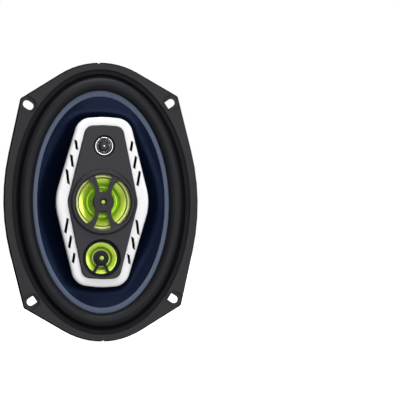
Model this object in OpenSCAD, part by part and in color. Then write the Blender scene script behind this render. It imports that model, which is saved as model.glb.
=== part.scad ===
// Oval four-way coaxial car speaker of the 6 x 9 in. format, in millimetres.
// Each piece is drawn in the speaker's own frame: x across, y along the oval and z out of
// the cone, with z = 0 on the rear face of the mounting flange. stand() then sets the
// speaker upright, with the cone facing -Y and the long axis along +Z.

/* [Flange] */
// Overall width of the flange
flange_w = 165; // [160:1:172]
// Overall height of the flange, along the oval
flange_h = 235; // [232:1:246]
// Thickness of the pressed steel flange
flange_t = 1.2; // [0.8:0.1:2]
// How far an ear's corner lies inside the flange's long side
ear_in_x = 15.7; // [14:0.1:17]
// How far an ear's corner lies inside the flange's end
ear_in_y = 29.3; // [27:0.1:31]
// Corner radius of an ear
ear_r = 3.6; // [2:0.1:6]
// Radius of the bulged long sides
side_r = 184; // [150:1:240]
// Radius of the two ends
end_r = 64; // [55:1:75]
// Depth of the centring notch at each end
notch_depth = 0.8; // [0.5:0.1:1.5]

/* [Mounting slots] */
// How far a slot's centre lies inside the ear's corner, across
slot_in_x = 6.5; // [6:0.1:7.5]
// How far a slot's centre lies inside the ear's corner, along the oval
slot_in_y = 5.7; // [5:0.1:7]
// Width of a slot
slot_w = 6.4; // [5:0.1:7]
// Length of a D-shaped slot
slot_len = 7.8; // [7:0.1:9]
// Length of the one long slot
long_slot_len = 9.6; // [9:0.1:11]
// Angle of a slot to the horizontal
slot_tilt = 33; // [25:1:40]

/* [Gasket ring] */
// Height of the gasket ring's face above the flange
gasket_t = 3; // [2.4:0.1:4]
// Height of the ring's inner ledge above the flange
ledge_t = 1.9; // [1.6:0.1:2.2]
// Width of the inner ledge
ledge_w = 3.8; // [3:0.1:4.5]
// How far the ring stays inside the flange's edge
gasket_inset = 0.9; // [0.5:0.1:1.5]
// Radius of the pad that is left round each slot
ear_pad_r = 6.6; // [6:0.1:7.5]
// Height of that pad above the flange
ear_pad_t = 1.2; // [0.8:0.1:1.8]

/* [Cone and surround] */
// Width of the frame between the flange's long side and the cone's rim
frame_x = 24.9; // [24.5:0.1:28]
// Width of the frame between the flange's end and the cone's rim
frame_y = 23.8; // [23.5:0.1:27]
// Width of the flat rim of the cone
rim_w = 3.6; // [3:0.1:5]
// Depth of the cone from rim to neck
cone_depth = 27; // [24:0.5:28]
// Thickness of the cone
cone_t = 0.8; // [0.6:0.1:1.2]
// Width of the rubber half roll
roll_w = 11.4; // [10:0.1:12]
// Height of the half roll above its lips
roll_h = 5.2; // [4:0.1:6]
// Thickness of the rubber
rubber_t = 0.8; // [0.6:0.1:1]
// Width of the groove between the roll and the gasket ring
groove_w = 2.4; // [2:0.1:3]
// Outer radius of the dust ring, where the cone is still round
dust_r = 20; // [18:0.5:22]
// Travel of the cone each way
cone_travel = 4; // [2:0.5:5]

/* [Basket] */
// Depth of the spider's shelf behind the mounting plane
shelf_z = 34; // [32:0.5:38]
// Depth of the basket's floor behind the mounting plane
floor_z = 46; // [44:0.5:50]
// Thickness of the basket's wall
wall_t = 1; // [0.8:0.1:1.5]
// How far the spider's shelf ends inside the flange's long side
shelf_in = 28.5; // [26:0.5:29.5]
// Width of the spider's shelf
shelf_w = 9; // [8:0.5:10]
// Height of the closed collar below the flange
collar_h = 9; // [7:0.5:12]
// Number of windows round the basket
window_count = 8; // [6, 8]

/* [Motor] */
// Inner diameter of the voice coil former
coil_d = 25.4; // [24:0.1:27]
// Length of the winding
coil_len = 10; // [8:0.5:12]
// Diameter of the ring magnet
magnet_d = 90; // [88:1:96]
// Thickness of the ring magnet
magnet_t = 16; // [14:0.5:20]
// Diameter of the front plate
plate_d = 80; // [76:1:84]
// Thickness of the front plate and of the yoke's plate
plate_t = 5; // [4:0.5:6]
// Radius of the hollow tweeter post
post_r = 5; // [4.5:0.1:5.5]
// Radius of the post's stem in the pole
stem_r = 3.5; // [3:0.1:4]
// Gap between a moving and a fixed piece of the motor
motor_gap = 0.4; // [0.3:0.05:0.5]

/* [Terminals] */
// Length of the basket's lug beyond the spider's shelf
lug_len = 12; // [10:0.5:13]
// Width of the lug
lug_w = 22; // [20:0.5:26]
// Thickness of the terminal board
board_t = 1.6; // [1.2:0.1:2]
// Reach of the terminal board beyond the lug's end
board_reach = 5; // [4:0.5:7]
// Width of the terminal board
board_w = 30; // [28:0.5:34]
// Distance from the middle of the board to each blade
blade_y = 9; // [8:0.1:10]
// Length of a blade behind the board
blade_len = 9; // [7:0.5:10]

/* [Driver pod] */
// Height of the pod's front face above the mounting plane
pod_z = 16; // [15:0.5:19]
// Height of the dark centre plate, along the oval
plate_face_h = 129.4; // [128:0.1:131]
// Width of the dark centre plate at its middle
plate_face_w = 59.2; // [58.6:0.1:61]
// Width of the dark centre plate at its ends
plate_end_w = 31.2; // [29:0.1:33]
// Height of the trim plate
trim_h = 143; // [141:0.5:146]
// Width of the trim plate at its middle
trim_w = 78; // [77:0.5:82]
// Width of the trim plate at its ends
trim_end_w = 43; // [41:0.5:45]
// Height of the trim plate above the pod's base
trim_t = 6.4; // [5:0.1:7]
// Thickness of the pod's mouldings
moulding_t = 2; // [1.5:0.1:2.5]
// Distance from the middle to each tweeter's centre
tweeter_y = 47.1; // [46.5:0.1:47.6]
// How far the pod is turned on its post, clockwise from the front
pod_turn = 2.2; // [0:0.1:3]

/* [Midrange] */
// Diameter of the midrange's visible opening
mid_d = 46.4; // [45:0.1:47]
// Outer diameter of the grille's ring
mid_ring_d = 55.4; // [54:0.1:56]
// Diameter of the grille's hub
mid_hub_d = 18; // [16:0.5:20]
// Height of the grille's ring above the pod's face
mid_ring_h = 2.4; // [1.8:0.1:3]
// Travel of the midrange cone each way
mid_travel = 1; // [0.5:0.1:1.2]

/* [Tweeters] */
// Diameter of the cone tweeter's recess
tweeter_recess_d = 32.3; // [31:0.1:33]
// Diameter of the cone tweeter's diaphragm
tweeter_d = 26; // [25:0.1:27]
// Diameter of the super tweeter's recess
super_recess_d = 18.5; // [18:0.1:20]
// Diameter of the super tweeter's chrome bowl
super_d = 15.7; // [15:0.1:16.5]
// Travel of each tweeter diaphragm each way
tweeter_travel = 0.3; // [0.1:0.05:0.4]

/* [Hidden] */

$fn = 96;
oval_seg = 64;            // facets round each lofted oval
wall_seg = 96;            // cells round the basket's wall
spoke_cells = 3;          // cells in each spoke
eps = 0.01;               // overshoot of a cut
seat = 0.3;               // clearance between a moving piece and a fixed one
glue = 0.1;               // bond line between a loft and a round piece
slide = 0.05;             // clearance of one piece that plugs into another
gap_2d = 0.35;            // gap between the dark plate and the trim plate

// --- shared geometry ---

module stand() rotate([90, 0, 0]) children();

// The pod's pieces stand turned on the post.
module pod_stand() stand() rotate(-pod_turn) children();

module oval(a, b) polygon([for (i = [0 : 2 * oval_seg - 1])
    let (t = 180 * i / oval_seg) [a * cos(t), b * sin(t)]]);

module tube(r, hole, z0, z1) translate([0, 0, z0]) difference() {
    cylinder(r = r, h = z1 - z0);
    translate([0, 0, -eps]) cylinder(r = hole, h = z1 - z0 + 2 * eps);
}

function unit(v) = v / norm(v);

function turned(from, to) = let (d = to - from) d > 180 ? d - 360 : d < -180 ? d + 360 : d;

// The arc that rounds corner q between its neighbours p and s, moved in by inset.
function corner_arc(p, q, s, r, inset) =
    let (
        u = unit(p - q),
        v = unit(s - q),
        half = acos(u * v) / 2,
        c = q + unit(u + v) * r / sin(half),
        from = q + u * r / tan(half) - c,
        to = q + v * r / tan(half) - c,
        a0 = atan2(from.y, from.x),
        sweep = turned(a0, atan2(to.y, to.x)),
        n = 2 * max(2, ceil(abs(sweep) / 12))
    )
    [for (i = [0 : n]) c + (r - inset) * [cos(a0 + sweep * i / n), sin(a0 + sweep * i / n)]];

// A closed outline of straight edges and arcs from corners given as [x, y, radius].
function rounded(corners, inset = 0) =
    let (n = len(corners), at = function(i) let (c = corners[(i + n) % n]) [c.x, c.y])
    [for (i = [0 : n - 1])
        each corner_arc(at(i - 1), at(i), at(i + 1), corners[i][2], inset)];

// The four mirrored copies of a quarter's corner in order, with a corner on each axis.
function mirrored(side, corner, end) = [
    [side.x, 0, side.y], corner, [0, end.x, end.y], [-corner.x, corner.y, corner[2]],
    [-side.x, 0, side.y], [-corner.x, -corner.y, corner[2]], [0, -end.x, end.y],
    [corner.x, -corner.y, corner[2]]];

// Where two tangents of a circle of radius r meet, if the circle's far point lies at reach
// and each tangent passes through the point at distance along from the axis and across.
function apex(reach, along, across, r) =
    let (
        m = reach - along - r,
        a = acos(r / norm([m, across])) - atan2(across, -m)
    )
    along + across * tan(abs(a));

// A closed band swept round the oval: each section is [half width, half height, z].
module oval_band(sections) {
    n = oval_seg;
    m = len(sections);
    points = [for (s = sections) for (i = [0 : n - 1])
        [s[0] * cos(360 * i / n), s[1] * sin(360 * i / n), s[2]]];
    faces = [for (j = [0 : m - 1]) for (i = [0 : n - 1])
        let (
            a = j * n + i,
            b = j * n + (i + 1) % n,
            c = ((j + 1) % m) * n + (i + 1) % n,
            d = ((j + 1) % m) * n + i
        )
        each [[a, c, b], [a, d, c]]];
    polyhedron(points = points, faces = faces);
}

// --- levels and radii worked out from the sizes above ---

ear_x = flange_w / 2 - ear_in_x;
ear_y = flange_h / 2 - ear_in_y;
slot_x = ear_x - slot_in_x;
slot_y = ear_y - slot_in_y;

cone_a = flange_w / 2 - frame_x;
cone_b = flange_h / 2 - frame_y;
flare_a = cone_a - rim_w;
flare_b = cone_b - rim_w;
lip_gap = 0.5;
foot_in_a = cone_a + lip_gap;
foot_in_b = cone_b + lip_gap;
foot_out_a = foot_in_a + roll_w;
foot_out_b = foot_in_b + roll_w;
ledge_a = foot_out_a + groove_w;
ledge_b = foot_out_b + groove_w;
face_a = ledge_a + ledge_w;
face_b = ledge_b + ledge_w;
lip_a = ledge_a + ledge_w / 2;
lip_b = ledge_b + ledge_w / 2;

lip_z = flange_t;
rim_z = lip_z + rubber_t;
cone_top = rim_z + cone_t;
neck_z = cone_top - cone_depth;

former_t = 0.3;
winding_t = 0.5;
former_in = coil_d / 2;
former_out = former_in + former_t;
winding_out = former_out + winding_t;
pole_r = former_in - motor_gap;
gap_r = winding_out + motor_gap;
neck_r = former_out + glue;

floor_top = -floor_z;
floor_back = floor_top - wall_t;
plate_back = floor_back - plate_t;
magnet_back = plate_back - magnet_t;
yoke_back = magnet_back - plate_t;
coil_mid = floor_back - plate_t / 2;
former_back = coil_mid - coil_len / 2 - 1;
spider_t = 0.6;
spider_wave = 1.3;
nut_t = 3.6;
wire_bore_r = stem_r - 1.5;
pod_rise = 9;             // from the pod's base to its front face
cup_depth = 13;           // depth of the midrange's cup behind the base
boss_t = 3;               // height of the boss that seats on the post
base_z = pod_z - pod_rise;
cup_back = base_z - cup_depth;
boss_back = cup_back - boss_t;
shelf_r = flange_w / 2 - shelf_in;
cup_r = shelf_r - shelf_w;
rivet_circle_r = (cup_r + gap_r) / 2;
rivet_r = 2.2;

lug_x = shelf_r + lug_len;
board_x = lug_x + board_reach;
lug_rivet_x = (shelf_r + lug_x) / 2 + 1;
lug_rivet_y = lug_w / 2 - 3;
lug_rivet_r = 1.5;
blade_x = board_x - 2.5;
blade_t = 0.8;
blade_foot = 4.4;

// --- the flange and what lies on it ---

flange_corners = mirrored(
    [apex(flange_w / 2, ear_x, ear_y, side_r), side_r],
    [ear_x, ear_y, ear_r],
    [apex(flange_h / 2, ear_y, ear_x, end_r), end_r]);

// A D-shaped slot: round towards the ear's corner, square towards the cone.
module d_slot(grow = 0) {
    r = slot_w / 2 + grow;
    shift = (slot_len - slot_w) / 2;
    translate([shift, 0]) circle(r = r);
    translate([-slot_len / 2 - grow, -r]) square([slot_len / 2 + shift + grow, 2 * r]);
}

module long_slot(grow = 0) {
    r = slot_w / 2 + grow;
    reach = (long_slot_len - slot_w) / 2;
    for (side = [-1, 1]) translate([side * reach, 0]) circle(r = r);
    square([2 * reach, 2 * r], center = true);
}

module at_slots(skip_long = false) {
    for (left = [0, 1], low = [0, 1])
        if (!(skip_long && left == 1 && low == 0))
            mirror([left, 0]) mirror([0, low])
                translate([slot_x, slot_y]) rotate(slot_tilt) children();
}

module slots_2d(grow = 0) {
    at_slots(skip_long = true) d_slot(grow);
    mirror([1, 0]) translate([slot_x, slot_y]) rotate(slot_tilt)
        long_slot(grow);
}

module outline_2d(inset = 0) {
    difference() {
        polygon(rounded(flange_corners, inset));
        for (s = [-1, 1]) translate([0, s * (flange_h / 2 + notch_depth * 0.8)])
            circle(r = notch_depth * 1.8, $fn = 24);
    }
}

// --- basket: flange, collar, spokes, spider shelf, cup and floor in one pressing ---

wall_inset = 0.3;         // from the roll's foot to the top of the basket's wall

// A ring of the basket's wall: an oval with one corner for each cell, half a cell back
function wall_ring(a, b, back = 0.5) = [for (i = [0 : wall_seg - 1])
    let (t = 360 * (i - back) / wall_seg) [a * cos(t), b * sin(t)]];

// The wall is a grid of cells round the oval and down the basket. Cells below the collar stay
// open as windows, apart from the ones that make the spokes.
module basket_wall() {
    n = wall_seg;
    period = n / window_count;
    top_a = foot_out_a + wall_inset;
    top_b = foot_out_b + wall_inset;
    window_z = -shelf_z + 4;
    share = (window_z + collar_h) / (collar_h - shelf_z);
    neck = [top_a - 1 + (shelf_r - wall_t - top_a + 1) * share,
        top_b - 2 + (shelf_r - wall_t - top_b + 2) * share];
    levels = [
        [top_a, top_b, flange_t / 2],
        [top_a - 1, top_b - 2, -collar_h],
        [neck.x, neck.y, window_z],
        [shelf_r - wall_t, shelf_r - wall_t, -shelf_z - wall_t - wall_inset]];
    m = len(levels) - 1;
    solid = function(i, j) j != 1 || abs((i + n) % period - period / 2) < spoke_cells / 2;
    points = [for (w = [wall_t, 0]) for (l = levels) for (q = wall_ring(l[0] + w, l[1] + w))
        [q.x, q.y, l[2]]];
    p = function(w, j, i) (w * (m + 1) + j) * n + (i + n) % n;
    quad = function(a, b, c, d) [[a, b, c], [a, c, d]];
    faces = [for (j = [0 : m - 1]) for (i = [0 : n - 1]) if (solid(i, j)) each concat(
        quad(p(0, j, i), p(0, j, i + 1), p(0, j + 1, i + 1), p(0, j + 1, i)),
        quad(p(1, j, i), p(1, j + 1, i), p(1, j + 1, i + 1), p(1, j, i + 1)),
        j == 0 || !solid(i, j - 1) ?
            quad(p(0, j, i), p(1, j, i), p(1, j, i + 1), p(0, j, i + 1)) : [],
        j == m - 1 || !solid(i, j + 1) ?
            quad(p(0, j + 1, i), p(0, j + 1, i + 1), p(1, j + 1, i + 1), p(1, j + 1, i)) : [],
        !solid(i - 1, j) ?
            quad(p(0, j, i), p(0, j + 1, i), p(1, j + 1, i), p(1, j, i)) : [],
        !solid(i + 1, j) ?
            quad(p(0, j, i + 1), p(1, j, i + 1), p(1, j + 1, i + 1), p(0, j + 1, i + 1)) : [])];
    polyhedron(points = points, faces = faces);
}

module lug_2d() {
    translate([shelf_r - 3, -lug_w / 2]) square([lug_x - shelf_r + 3, lug_w]);
}

module basket() stand() color("#1b1c1f") {
    opening_grow = wall_inset + wall_t * 0.4;
    linear_extrude(flange_t) difference() {
        outline_2d();
        polygon(wall_ring(foot_out_a + opening_grow, foot_out_b + opening_grow, 0.2));
        slots_2d();
    }
    basket_wall();
    // spider shelf, cup and floor
    difference() {
        rotate_extrude() polygon([
            [cup_r - wall_t, -shelf_z], [shelf_r - wall_t / 2, -shelf_z],
            [shelf_r - wall_t / 2, -shelf_z - wall_t], [cup_r, -shelf_z - wall_t],
            [cup_r - 2, floor_back], [gap_r + 5, floor_back], [gap_r + 5, floor_top],
            [cup_r - 2 - wall_t, floor_top]]);
        for (a = [45 : 90 : 315]) rotate(a) translate([rivet_circle_r, 0, floor_back - 1])
            cylinder(r = rivet_r, h = wall_t + 2);
    }
    translate([0, 0, -shelf_z - wall_t]) linear_extrude(wall_t) difference() {
        lug_2d();
        for (s = [-1, 1]) translate([lug_rivet_x, s * lug_rivet_y])
            circle(r = lug_rivet_r + slide);
    }
}

// --- gasket ring: raised face, lower ledge inside, low pads round the slots ---

module ear_pads_2d() {
    at_slots() {
        circle(r = ear_pad_r);
        translate([0, -ear_pad_r]) square([30, 2 * ear_pad_r]);
    }
}

module gasket_ring() stand() color("#3d3b3f") translate([0, 0, flange_t]) {
    difference() {
        linear_extrude(gasket_t) outline_2d(gasket_inset);
        translate([0, 0, -eps]) linear_extrude(gasket_t + 2 * eps) {
            oval(ledge_a, ledge_b);
            slots_2d(slide);
        }
        translate([0, 0, ledge_t]) linear_extrude(gasket_t) oval(face_a, face_b);
        translate([0, 0, ear_pad_t]) linear_extrude(gasket_t) ear_pads_2d();
        translate([0, 0, -eps]) linear_extrude(rubber_t + slide) oval(lip_a + slide, lip_b + slide);
    }
}

// --- rubber surround: two flat lips and a half roll of even width ---

module surround() stand() color("#26262c") {
    n = 7;
    outer = [for (i = [0 : n]) let (a = 180 * i / n)
        [roll_w / 2 * (1 - cos(a)), rubber_t + roll_h * sin(a)]];
    inner = [for (i = [n : -1 : 0]) let (a = 180 * i / n)
        [roll_w / 2 - (roll_w / 2 - rubber_t) * cos(a), roll_h * sin(a)]];
    lip_in = rim_w - 1.4;
    profile = concat(
        [[-lip_in, 0], [-lip_in, rubber_t]], outer,
        [[lip_a - foot_in_a, rubber_t], [lip_a - foot_in_a, 0]], inner);
    oval_band([for (p = profile) [foot_in_a + p[0], foot_in_b + p[0], lip_z + p[1]]]);
}

// --- woofer cone: round at the neck and oval at the rim ---

cone_steps = 6;
round_share = (dust_r + 1 - neck_r) / (flare_a - neck_r);

function cone_section(s, back) =
    let (
        a = neck_r + (flare_a - neck_r) * s,
        stretch = (flare_b - flare_a) * pow(max(0, s - round_share) / (1 - round_share), 1.1)
    )
    [a + (back ? cone_t / 2 : 0), a + stretch + (back ? cone_t / 2 : 0),
        neck_z + cone_depth * pow(s, 0.9) - (back ? cone_t : 0)];

module woofer_cone() stand() color("#12182a") {
    steps = concat([for (i = [0 : 2]) i * round_share / 2],
        [for (i = [1 : cone_steps]) round_share + (1 - round_share) * i / cone_steps]);
    front = [for (s = steps) cone_section(s, false)];
    back = [for (i = [len(steps) - 1 : -1 : 0]) cone_section(steps[i], true)];
    oval_band(concat(front, [[cone_a, cone_b, cone_top], [cone_a, cone_b, rim_z]], back));
}

module dust_ring() stand() color("#0d1016") rotate_extrude() {
    seat_z = cone_section(round_share * (dust_r - neck_r) / (dust_r + 1 - neck_r), false)[2];
    hole = post_r + 1;
    rise = 3;
    polygon([[hole, seat_z + rise - 0.6], [hole, seat_z + rise], [hole + 4, seat_z + rise],
        [dust_r - 2.5, seat_z + 1.6], [dust_r, seat_z + 0.15], [dust_r - 0.8, seat_z + 0.1],
        [dust_r - 3, seat_z + 0.9], [hole + 3.6, seat_z + rise - 0.6]]);
}

module coil_former() stand() color("#a9824a")
    tube(former_out, former_in, former_back, neck_z + 2);

module coil_winding() stand() color("#9b5a2c")
    tube(winding_out, former_out, coil_mid - coil_len / 2, coil_mid + coil_len / 2);

// --- spider: corrugated disc from the former to the shelf ---

module spider() stand() color("#c9a54e") {
    waves = 5;
    per_wave = 8;
    inner_flat = 2;
    outer_flat = 3.5;
    r0 = former_out + glue;
    r1 = shelf_r - wall_t - 1;
    n = waves * per_wave;
    base = -shelf_z;
    wave = [for (i = [0 : n])
        [r0 + inner_flat + (r1 - outer_flat - r0 - inner_flat) * i / n,
            base + spider_wave * (1 - cos(360 * i / per_wave))]];
    top = concat([[r0, base]], wave, [[r1, base]]);
    rotate_extrude() polygon(concat(
        [for (p = top) [p[0], p[1] + spider_t]],
        [for (i = [len(top) - 1 : -1 : 0]) top[i]]));
}

// --- motor ---

module front_plate() stand() color("#a8a9ab") difference() {
    tube(plate_d / 2, gap_r, plate_back, floor_back);
    for (a = [45 : 90 : 315]) rotate(a) translate([rivet_circle_r, 0, plate_back - 1])
        cylinder(r = rivet_r, h = plate_t + 2);
}

module plate_rivets() stand() color("#8d8e90")
    for (a = [45 : 90 : 315]) rotate(a) translate([rivet_circle_r, 0, 0]) {
        translate([0, 0, plate_back + 1]) cylinder(r = rivet_r - slide, h = plate_t + wall_t - 1);
        translate([0, 0, floor_top]) cylinder(r1 = rivet_r * 1.7, r2 = rivet_r, h = 1.2);
    }

module magnet() stand() color("#2c2c2e") {
    r = magnet_d / 2;
    hole = gap_r + 8;
    c = 1.5;
    rotate_extrude() polygon([[hole, magnet_back], [r - c, magnet_back], [r, magnet_back + c],
        [r, plate_back - c], [r - c, plate_back], [hole, plate_back]]);
}

module yoke() stand() color("#a8a9ab") {
    r = plate_d / 2 + 1;
    c = 1;
    bore = stem_r + slide;
    rotate_extrude() polygon([[bore, yoke_back], [r - c, yoke_back], [r, yoke_back + c],
        [r, magnet_back - c], [r - c, magnet_back], [pole_r, magnet_back],
        [pole_r, floor_back - c], [pole_r - c, floor_back], [bore, floor_back]]);
}

// --- terminals on the lug at the basket's side ---

module terminal_board() stand() color("#5b3a22")
    translate([0, 0, -shelf_z - wall_t - board_t]) linear_extrude(board_t) difference() {
        translate([shelf_r + 1.5, -board_w / 2]) square([board_x - shelf_r - 1.5, board_w]);
        for (s = [-1, 1]) {
            translate([lug_rivet_x, s * lug_rivet_y]) circle(r = lug_rivet_r + slide);
            translate([blade_x, s * blade_y])
                square([blade_t + 2 * slide, blade_foot + 2 * slide], center = true);
        }
    }

module terminal_rivets() stand() color("#b5b6b8")
    for (s = [-1, 1]) translate([lug_rivet_x, s * lug_rivet_y, 0]) {
        back = -shelf_z - wall_t - board_t;
        head = lug_rivet_r + 1;
        translate([0, 0, back]) cylinder(r = lug_rivet_r, h = wall_t + board_t);
        translate([0, 0, -shelf_z]) cylinder(r1 = head, r2 = lug_rivet_r, h = 0.8);
        translate([0, 0, back - 0.8]) cylinder(r = head, h = 0.8);
    }

// A flat blade behind the board, with a hole near its tip and a foot through the board.
module blade(width) {
    top = -shelf_z - wall_t;
    x = blade_x - blade_t / 2;
    difference() {
        union() {
            translate([x, -width / 2, top - board_t - blade_len])
                cube([blade_t, width, blade_len]);
            translate([x, -blade_foot / 2, top - board_t - eps])
                cube([blade_t, blade_foot, board_t + 1]);
        }
        translate([x - 1, 0, top - board_t - blade_len + 3]) rotate([0, 90, 0])
            cylinder(r = 0.9, h = blade_t + 2);
    }
}

module terminal_positive() stand() color("#c9a64b") translate([0, blade_y, 0]) blade(6.3);

module terminal_negative() stand() color("#c9a64b") translate([0, -blade_y, 0]) blade(4.8);

// --- tinsel leads: braided wires from the blades to the back of the cone ---

lead_r = 0.8;
lead_end_x = 35;          // where the leads meet the cone
lead_share = (lead_end_x - neck_r) / (flare_a - neck_r);
lead_end_z = cone_section(lead_share, true)[2] - seat;
lead_start_z = -shelf_z - wall_t + 1 + seat;
lead_points = [[blade_x, 0, lead_start_z], [blade_x - 1.9, -0.3, lead_start_z + 2.7],
    [blade_x - 4.9, -0.8, lead_start_z + 5.7], [blade_x - 9.1, -1.2, lead_start_z + 7.9],
    [blade_x - 13.5, -1.4, lead_start_z + 9.1], [blade_x - 17.9, -1.4, lead_start_z + 9.3],
    [blade_x - 22.1, -1.2, lead_start_z + 9.1], [lead_end_x + 7.6, -0.8, lead_end_z - 13.9],
    [lead_end_x + 4.4, -0.4, lead_end_z - 10.9], [lead_end_x + 2.2, 0, lead_end_z - 6.9],
    [lead_end_x, 0.2, lead_end_z - cone_travel], [lead_end_x, 0.2, lead_end_z]];

module wire(points, r, sides = 8) {
    n = len(points);
    rings = [for (i = [0 : n - 1])
        let (
            t = unit(points[min(n - 1, i + 1)] - points[max(0, i - 1)]),
            u = unit(cross(t, [0, 1, 0])),
            v = cross(t, u)
        )
        for (k = [0 : sides - 1])
            points[i] + r * (u * cos(360 * k / sides) + v * sin(360 * k / sides))];
    walls = [for (i = [0 : n - 2]) for (k = [0 : sides - 1])
        let (a = i * sides + k, b = i * sides + (k + 1) % sides)
        each [[a, b, b + sides], [a, b + sides, a + sides]]];
    polyhedron(points = rings, faces = concat(walls,
        [[for (k = [sides - 1 : -1 : 0]) k], [for (k = [0 : sides - 1]) (n - 1) * sides + k]]));
}

module tinsel_leads() stand() color("#b08d57")
    for (low = [0, 1]) mirror([0, low, 0]) translate([0, blade_y, 0])
        wire(lead_points, lead_r);

// --- tweeter post through the pole, held by a nut behind the yoke ---

module tweeter_post() stand() color("#8f9092") difference() {
    stem_back = yoke_back - nut_t - 1;
    union() {
        translate([0, 0, floor_back]) cylinder(r = post_r, h = cup_back - floor_back);
        translate([0, 0, stem_back]) cylinder(r = stem_r, h = floor_back - stem_back + 1);
    }
    translate([0, 0, stem_back - 1]) cylinder(r = wire_bore_r, h = cup_back - stem_back + 2);
}

module post_nut() stand() color("#b9babc") translate([0, 0, yoke_back - nut_t]) difference() {
    cylinder(r = 6.5 / cos(30), h = nut_t, $fn = 6);
    translate([0, 0, -1]) cylinder(r = stem_r + slide, h = nut_t + 2);
}

// --- driver pod: back moulding, dark front plate and trim plate ---

waist_r = 45;               // outline of the trim plate at its waist,
trim_corner_r = 14;         // its corners
trim_end_r = 65;            // and its ends
trim_corner_y = trim_h / 2 - 1.6;
trim_corners = mirrored(
    [apex(trim_w / 2, trim_end_w / 2, trim_corner_y, waist_r), waist_r],
    [trim_end_w / 2, trim_corner_y, trim_corner_r],
    [apex(trim_h / 2, trim_corner_y, trim_end_w / 2, trim_end_r), trim_end_r]);

face_waist_r = 20;          // the same three radii of the dark plate
face_corner_r = 7.5;
face_end_r = 70;
face_corner_y = plate_face_h / 2 - 0.9;
face_corners = mirrored(
    [apex(plate_face_w / 2, plate_end_w / 2, face_corner_y, face_waist_r), face_waist_r],
    [plate_end_w / 2, face_corner_y, face_corner_r],
    [apex(plate_face_h / 2, face_corner_y, plate_end_w / 2, face_end_r), face_end_r]);

mid_bore_r = mid_d / 2 + 1.3;
tweeter_bore_r = tweeter_d / 2 + 0.3;
super_bore_r = super_d / 2 + 0.15;
screw_x = 16.5;
screw_y = 28.5;
screw_r = 1.2;
skin_t = moulding_t + 0.4;

module trim_2d(inset = 0) polygon(rounded(trim_corners, inset));

module face_2d(inset = 0) polygon(rounded(face_corners, inset));

// A solid with one outline at each level: each section is [inset, z].
module crowned(corners, sections) {
    rings = [for (s = sections) rounded(corners, s[0])];
    n = len(rings[0]);
    m = len(sections);
    points = [for (j = [0 : m - 1]) for (p = rings[j]) [p.x, p.y, sections[j][1]]];
    walls = [for (j = [0 : m - 2]) for (i = [0 : n - 1])
        let (a = j * n + i, b = j * n + (i + 1) % n)
        each [[a, a + n, b + n], [a, b + n, b]]];
    polyhedron(points = points, faces = concat(walls,
        [[for (i = [0 : n - 1]) i], [for (i = [n - 1 : -1 : 0]) (m - 1) * n + i]]));
}

module at_screws() for (sx = [-1, 1], sy = [-1, 1])
    translate([sx * screw_x, sy * screw_y, 0]) children();

module pod_back() pod_stand() color("#17181a") {
    w = moulding_t;
    base_back = base_z - w;
    difference() {
        translate([0, 0, base_back]) linear_extrude(w) difference() {
            trim_2d(1.2);
            circle(r = mid_bore_r);
            translate([0, -tweeter_y]) circle(r = tweeter_bore_r);
        }
        at_screws() translate([0, 0, base_back - 1]) cylinder(r = screw_r + slide, h = w + 2);
    }
    // cup behind the midrange, with the boss that seats on the post
    rotate_extrude() polygon([
        [mid_bore_r, base_z - w / 2], [mid_bore_r + w, base_z - w / 2],
        [mid_bore_r + w, base_z - 8], [mid_bore_r - 6, cup_back], [post_r + 4, cup_back],
        [post_r + 3, boss_back], [post_r + slide, boss_back], [post_r + slide, cup_back + slide],
        [wire_bore_r, cup_back + slide], [wire_bore_r, cup_back + w],
        [mid_bore_r - 7, cup_back + w], [mid_bore_r, base_z - 8 + w / 2]]);
    // cup behind the cone tweeter
    translate([0, -tweeter_y, 0]) rotate_extrude() polygon([
        [tweeter_bore_r, base_z - w / 2], [tweeter_bore_r + w, base_z - w / 2],
        [tweeter_bore_r + w, base_z - 4], [tweeter_bore_r, base_z - 5.5], [0, base_z - 5.5],
        [0, base_z - 5.5 + w], [tweeter_bore_r, base_z - 5.5 + w]]);
}

module pod_front() pod_stand() color("#3f4046") {
    top = pod_z;
    tube_w = 1.6;
    wells = [[0, mid_bore_r], [-tweeter_y, tweeter_bore_r], [tweeter_y, super_bore_r]];
    difference() {
        crowned(face_corners, [[gap_2d, base_z], [gap_2d, top - 0.5], [gap_2d + 0.5, top]]);
        translate([0, 0, base_z - eps]) linear_extrude(top - skin_t - base_z) difference() {
            face_2d(gap_2d + moulding_t);
            for (w = wells) translate([0, w[0]]) circle(r = w[1] + tube_w);
            at_screws() circle(r = screw_r + 1.8);
        }
        for (w = wells) translate([0, w[0], base_z - 1]) cylinder(r = w[1], h = top);
        translate([0, -tweeter_y, 0]) recess(tweeter_recess_d / 2, tweeter_bore_r + 1.1, 3);
        translate([0, tweeter_y, 0]) recess(super_recess_d / 2, super_bore_r + 0.6, 1);
        at_screws() translate([0, 0, base_z - eps]) cylinder(r = screw_r + slide, h = 5);
    }
}

// A conical recess in the pod's face that ends on a small ledge.
module recess(mouth, ledge, depth) translate([0, 0, pod_z - depth])
    cylinder(r1 = ledge, r2 = mouth + (mouth - ledge) / depth * eps, h = depth + eps);

module pod_screws() pod_stand() color("#9a9b9d") at_screws() {
    back = base_z - moulding_t;
    difference() {
        translate([0, 0, back - 1.4]) cylinder(r = 2.4, h = 1.4);
        for (a = [0, 90]) rotate(a) translate([-1.5, -0.3, back - 1.4 - eps])
            cube([3, 0.6, 0.8]);
    }
    translate([0, 0, back - eps]) cylinder(r = screw_r, h = moulding_t + 4);
}

// --- trim plate: a crowned frame with six slots down each side ---

// Half width of the band's middle line at a height along the oval
function band_mid(y) =
    let (
        outer = trim_w / 2 + 1.6 - (trim_w / 2 + 1.6 - trim_end_w / 2) * y / trim_corner_y,
        inner = plate_face_w / 2 - (plate_face_w - plate_end_w) / 2 * y / face_corner_y
    )
    (outer + inner) / 2;

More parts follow.
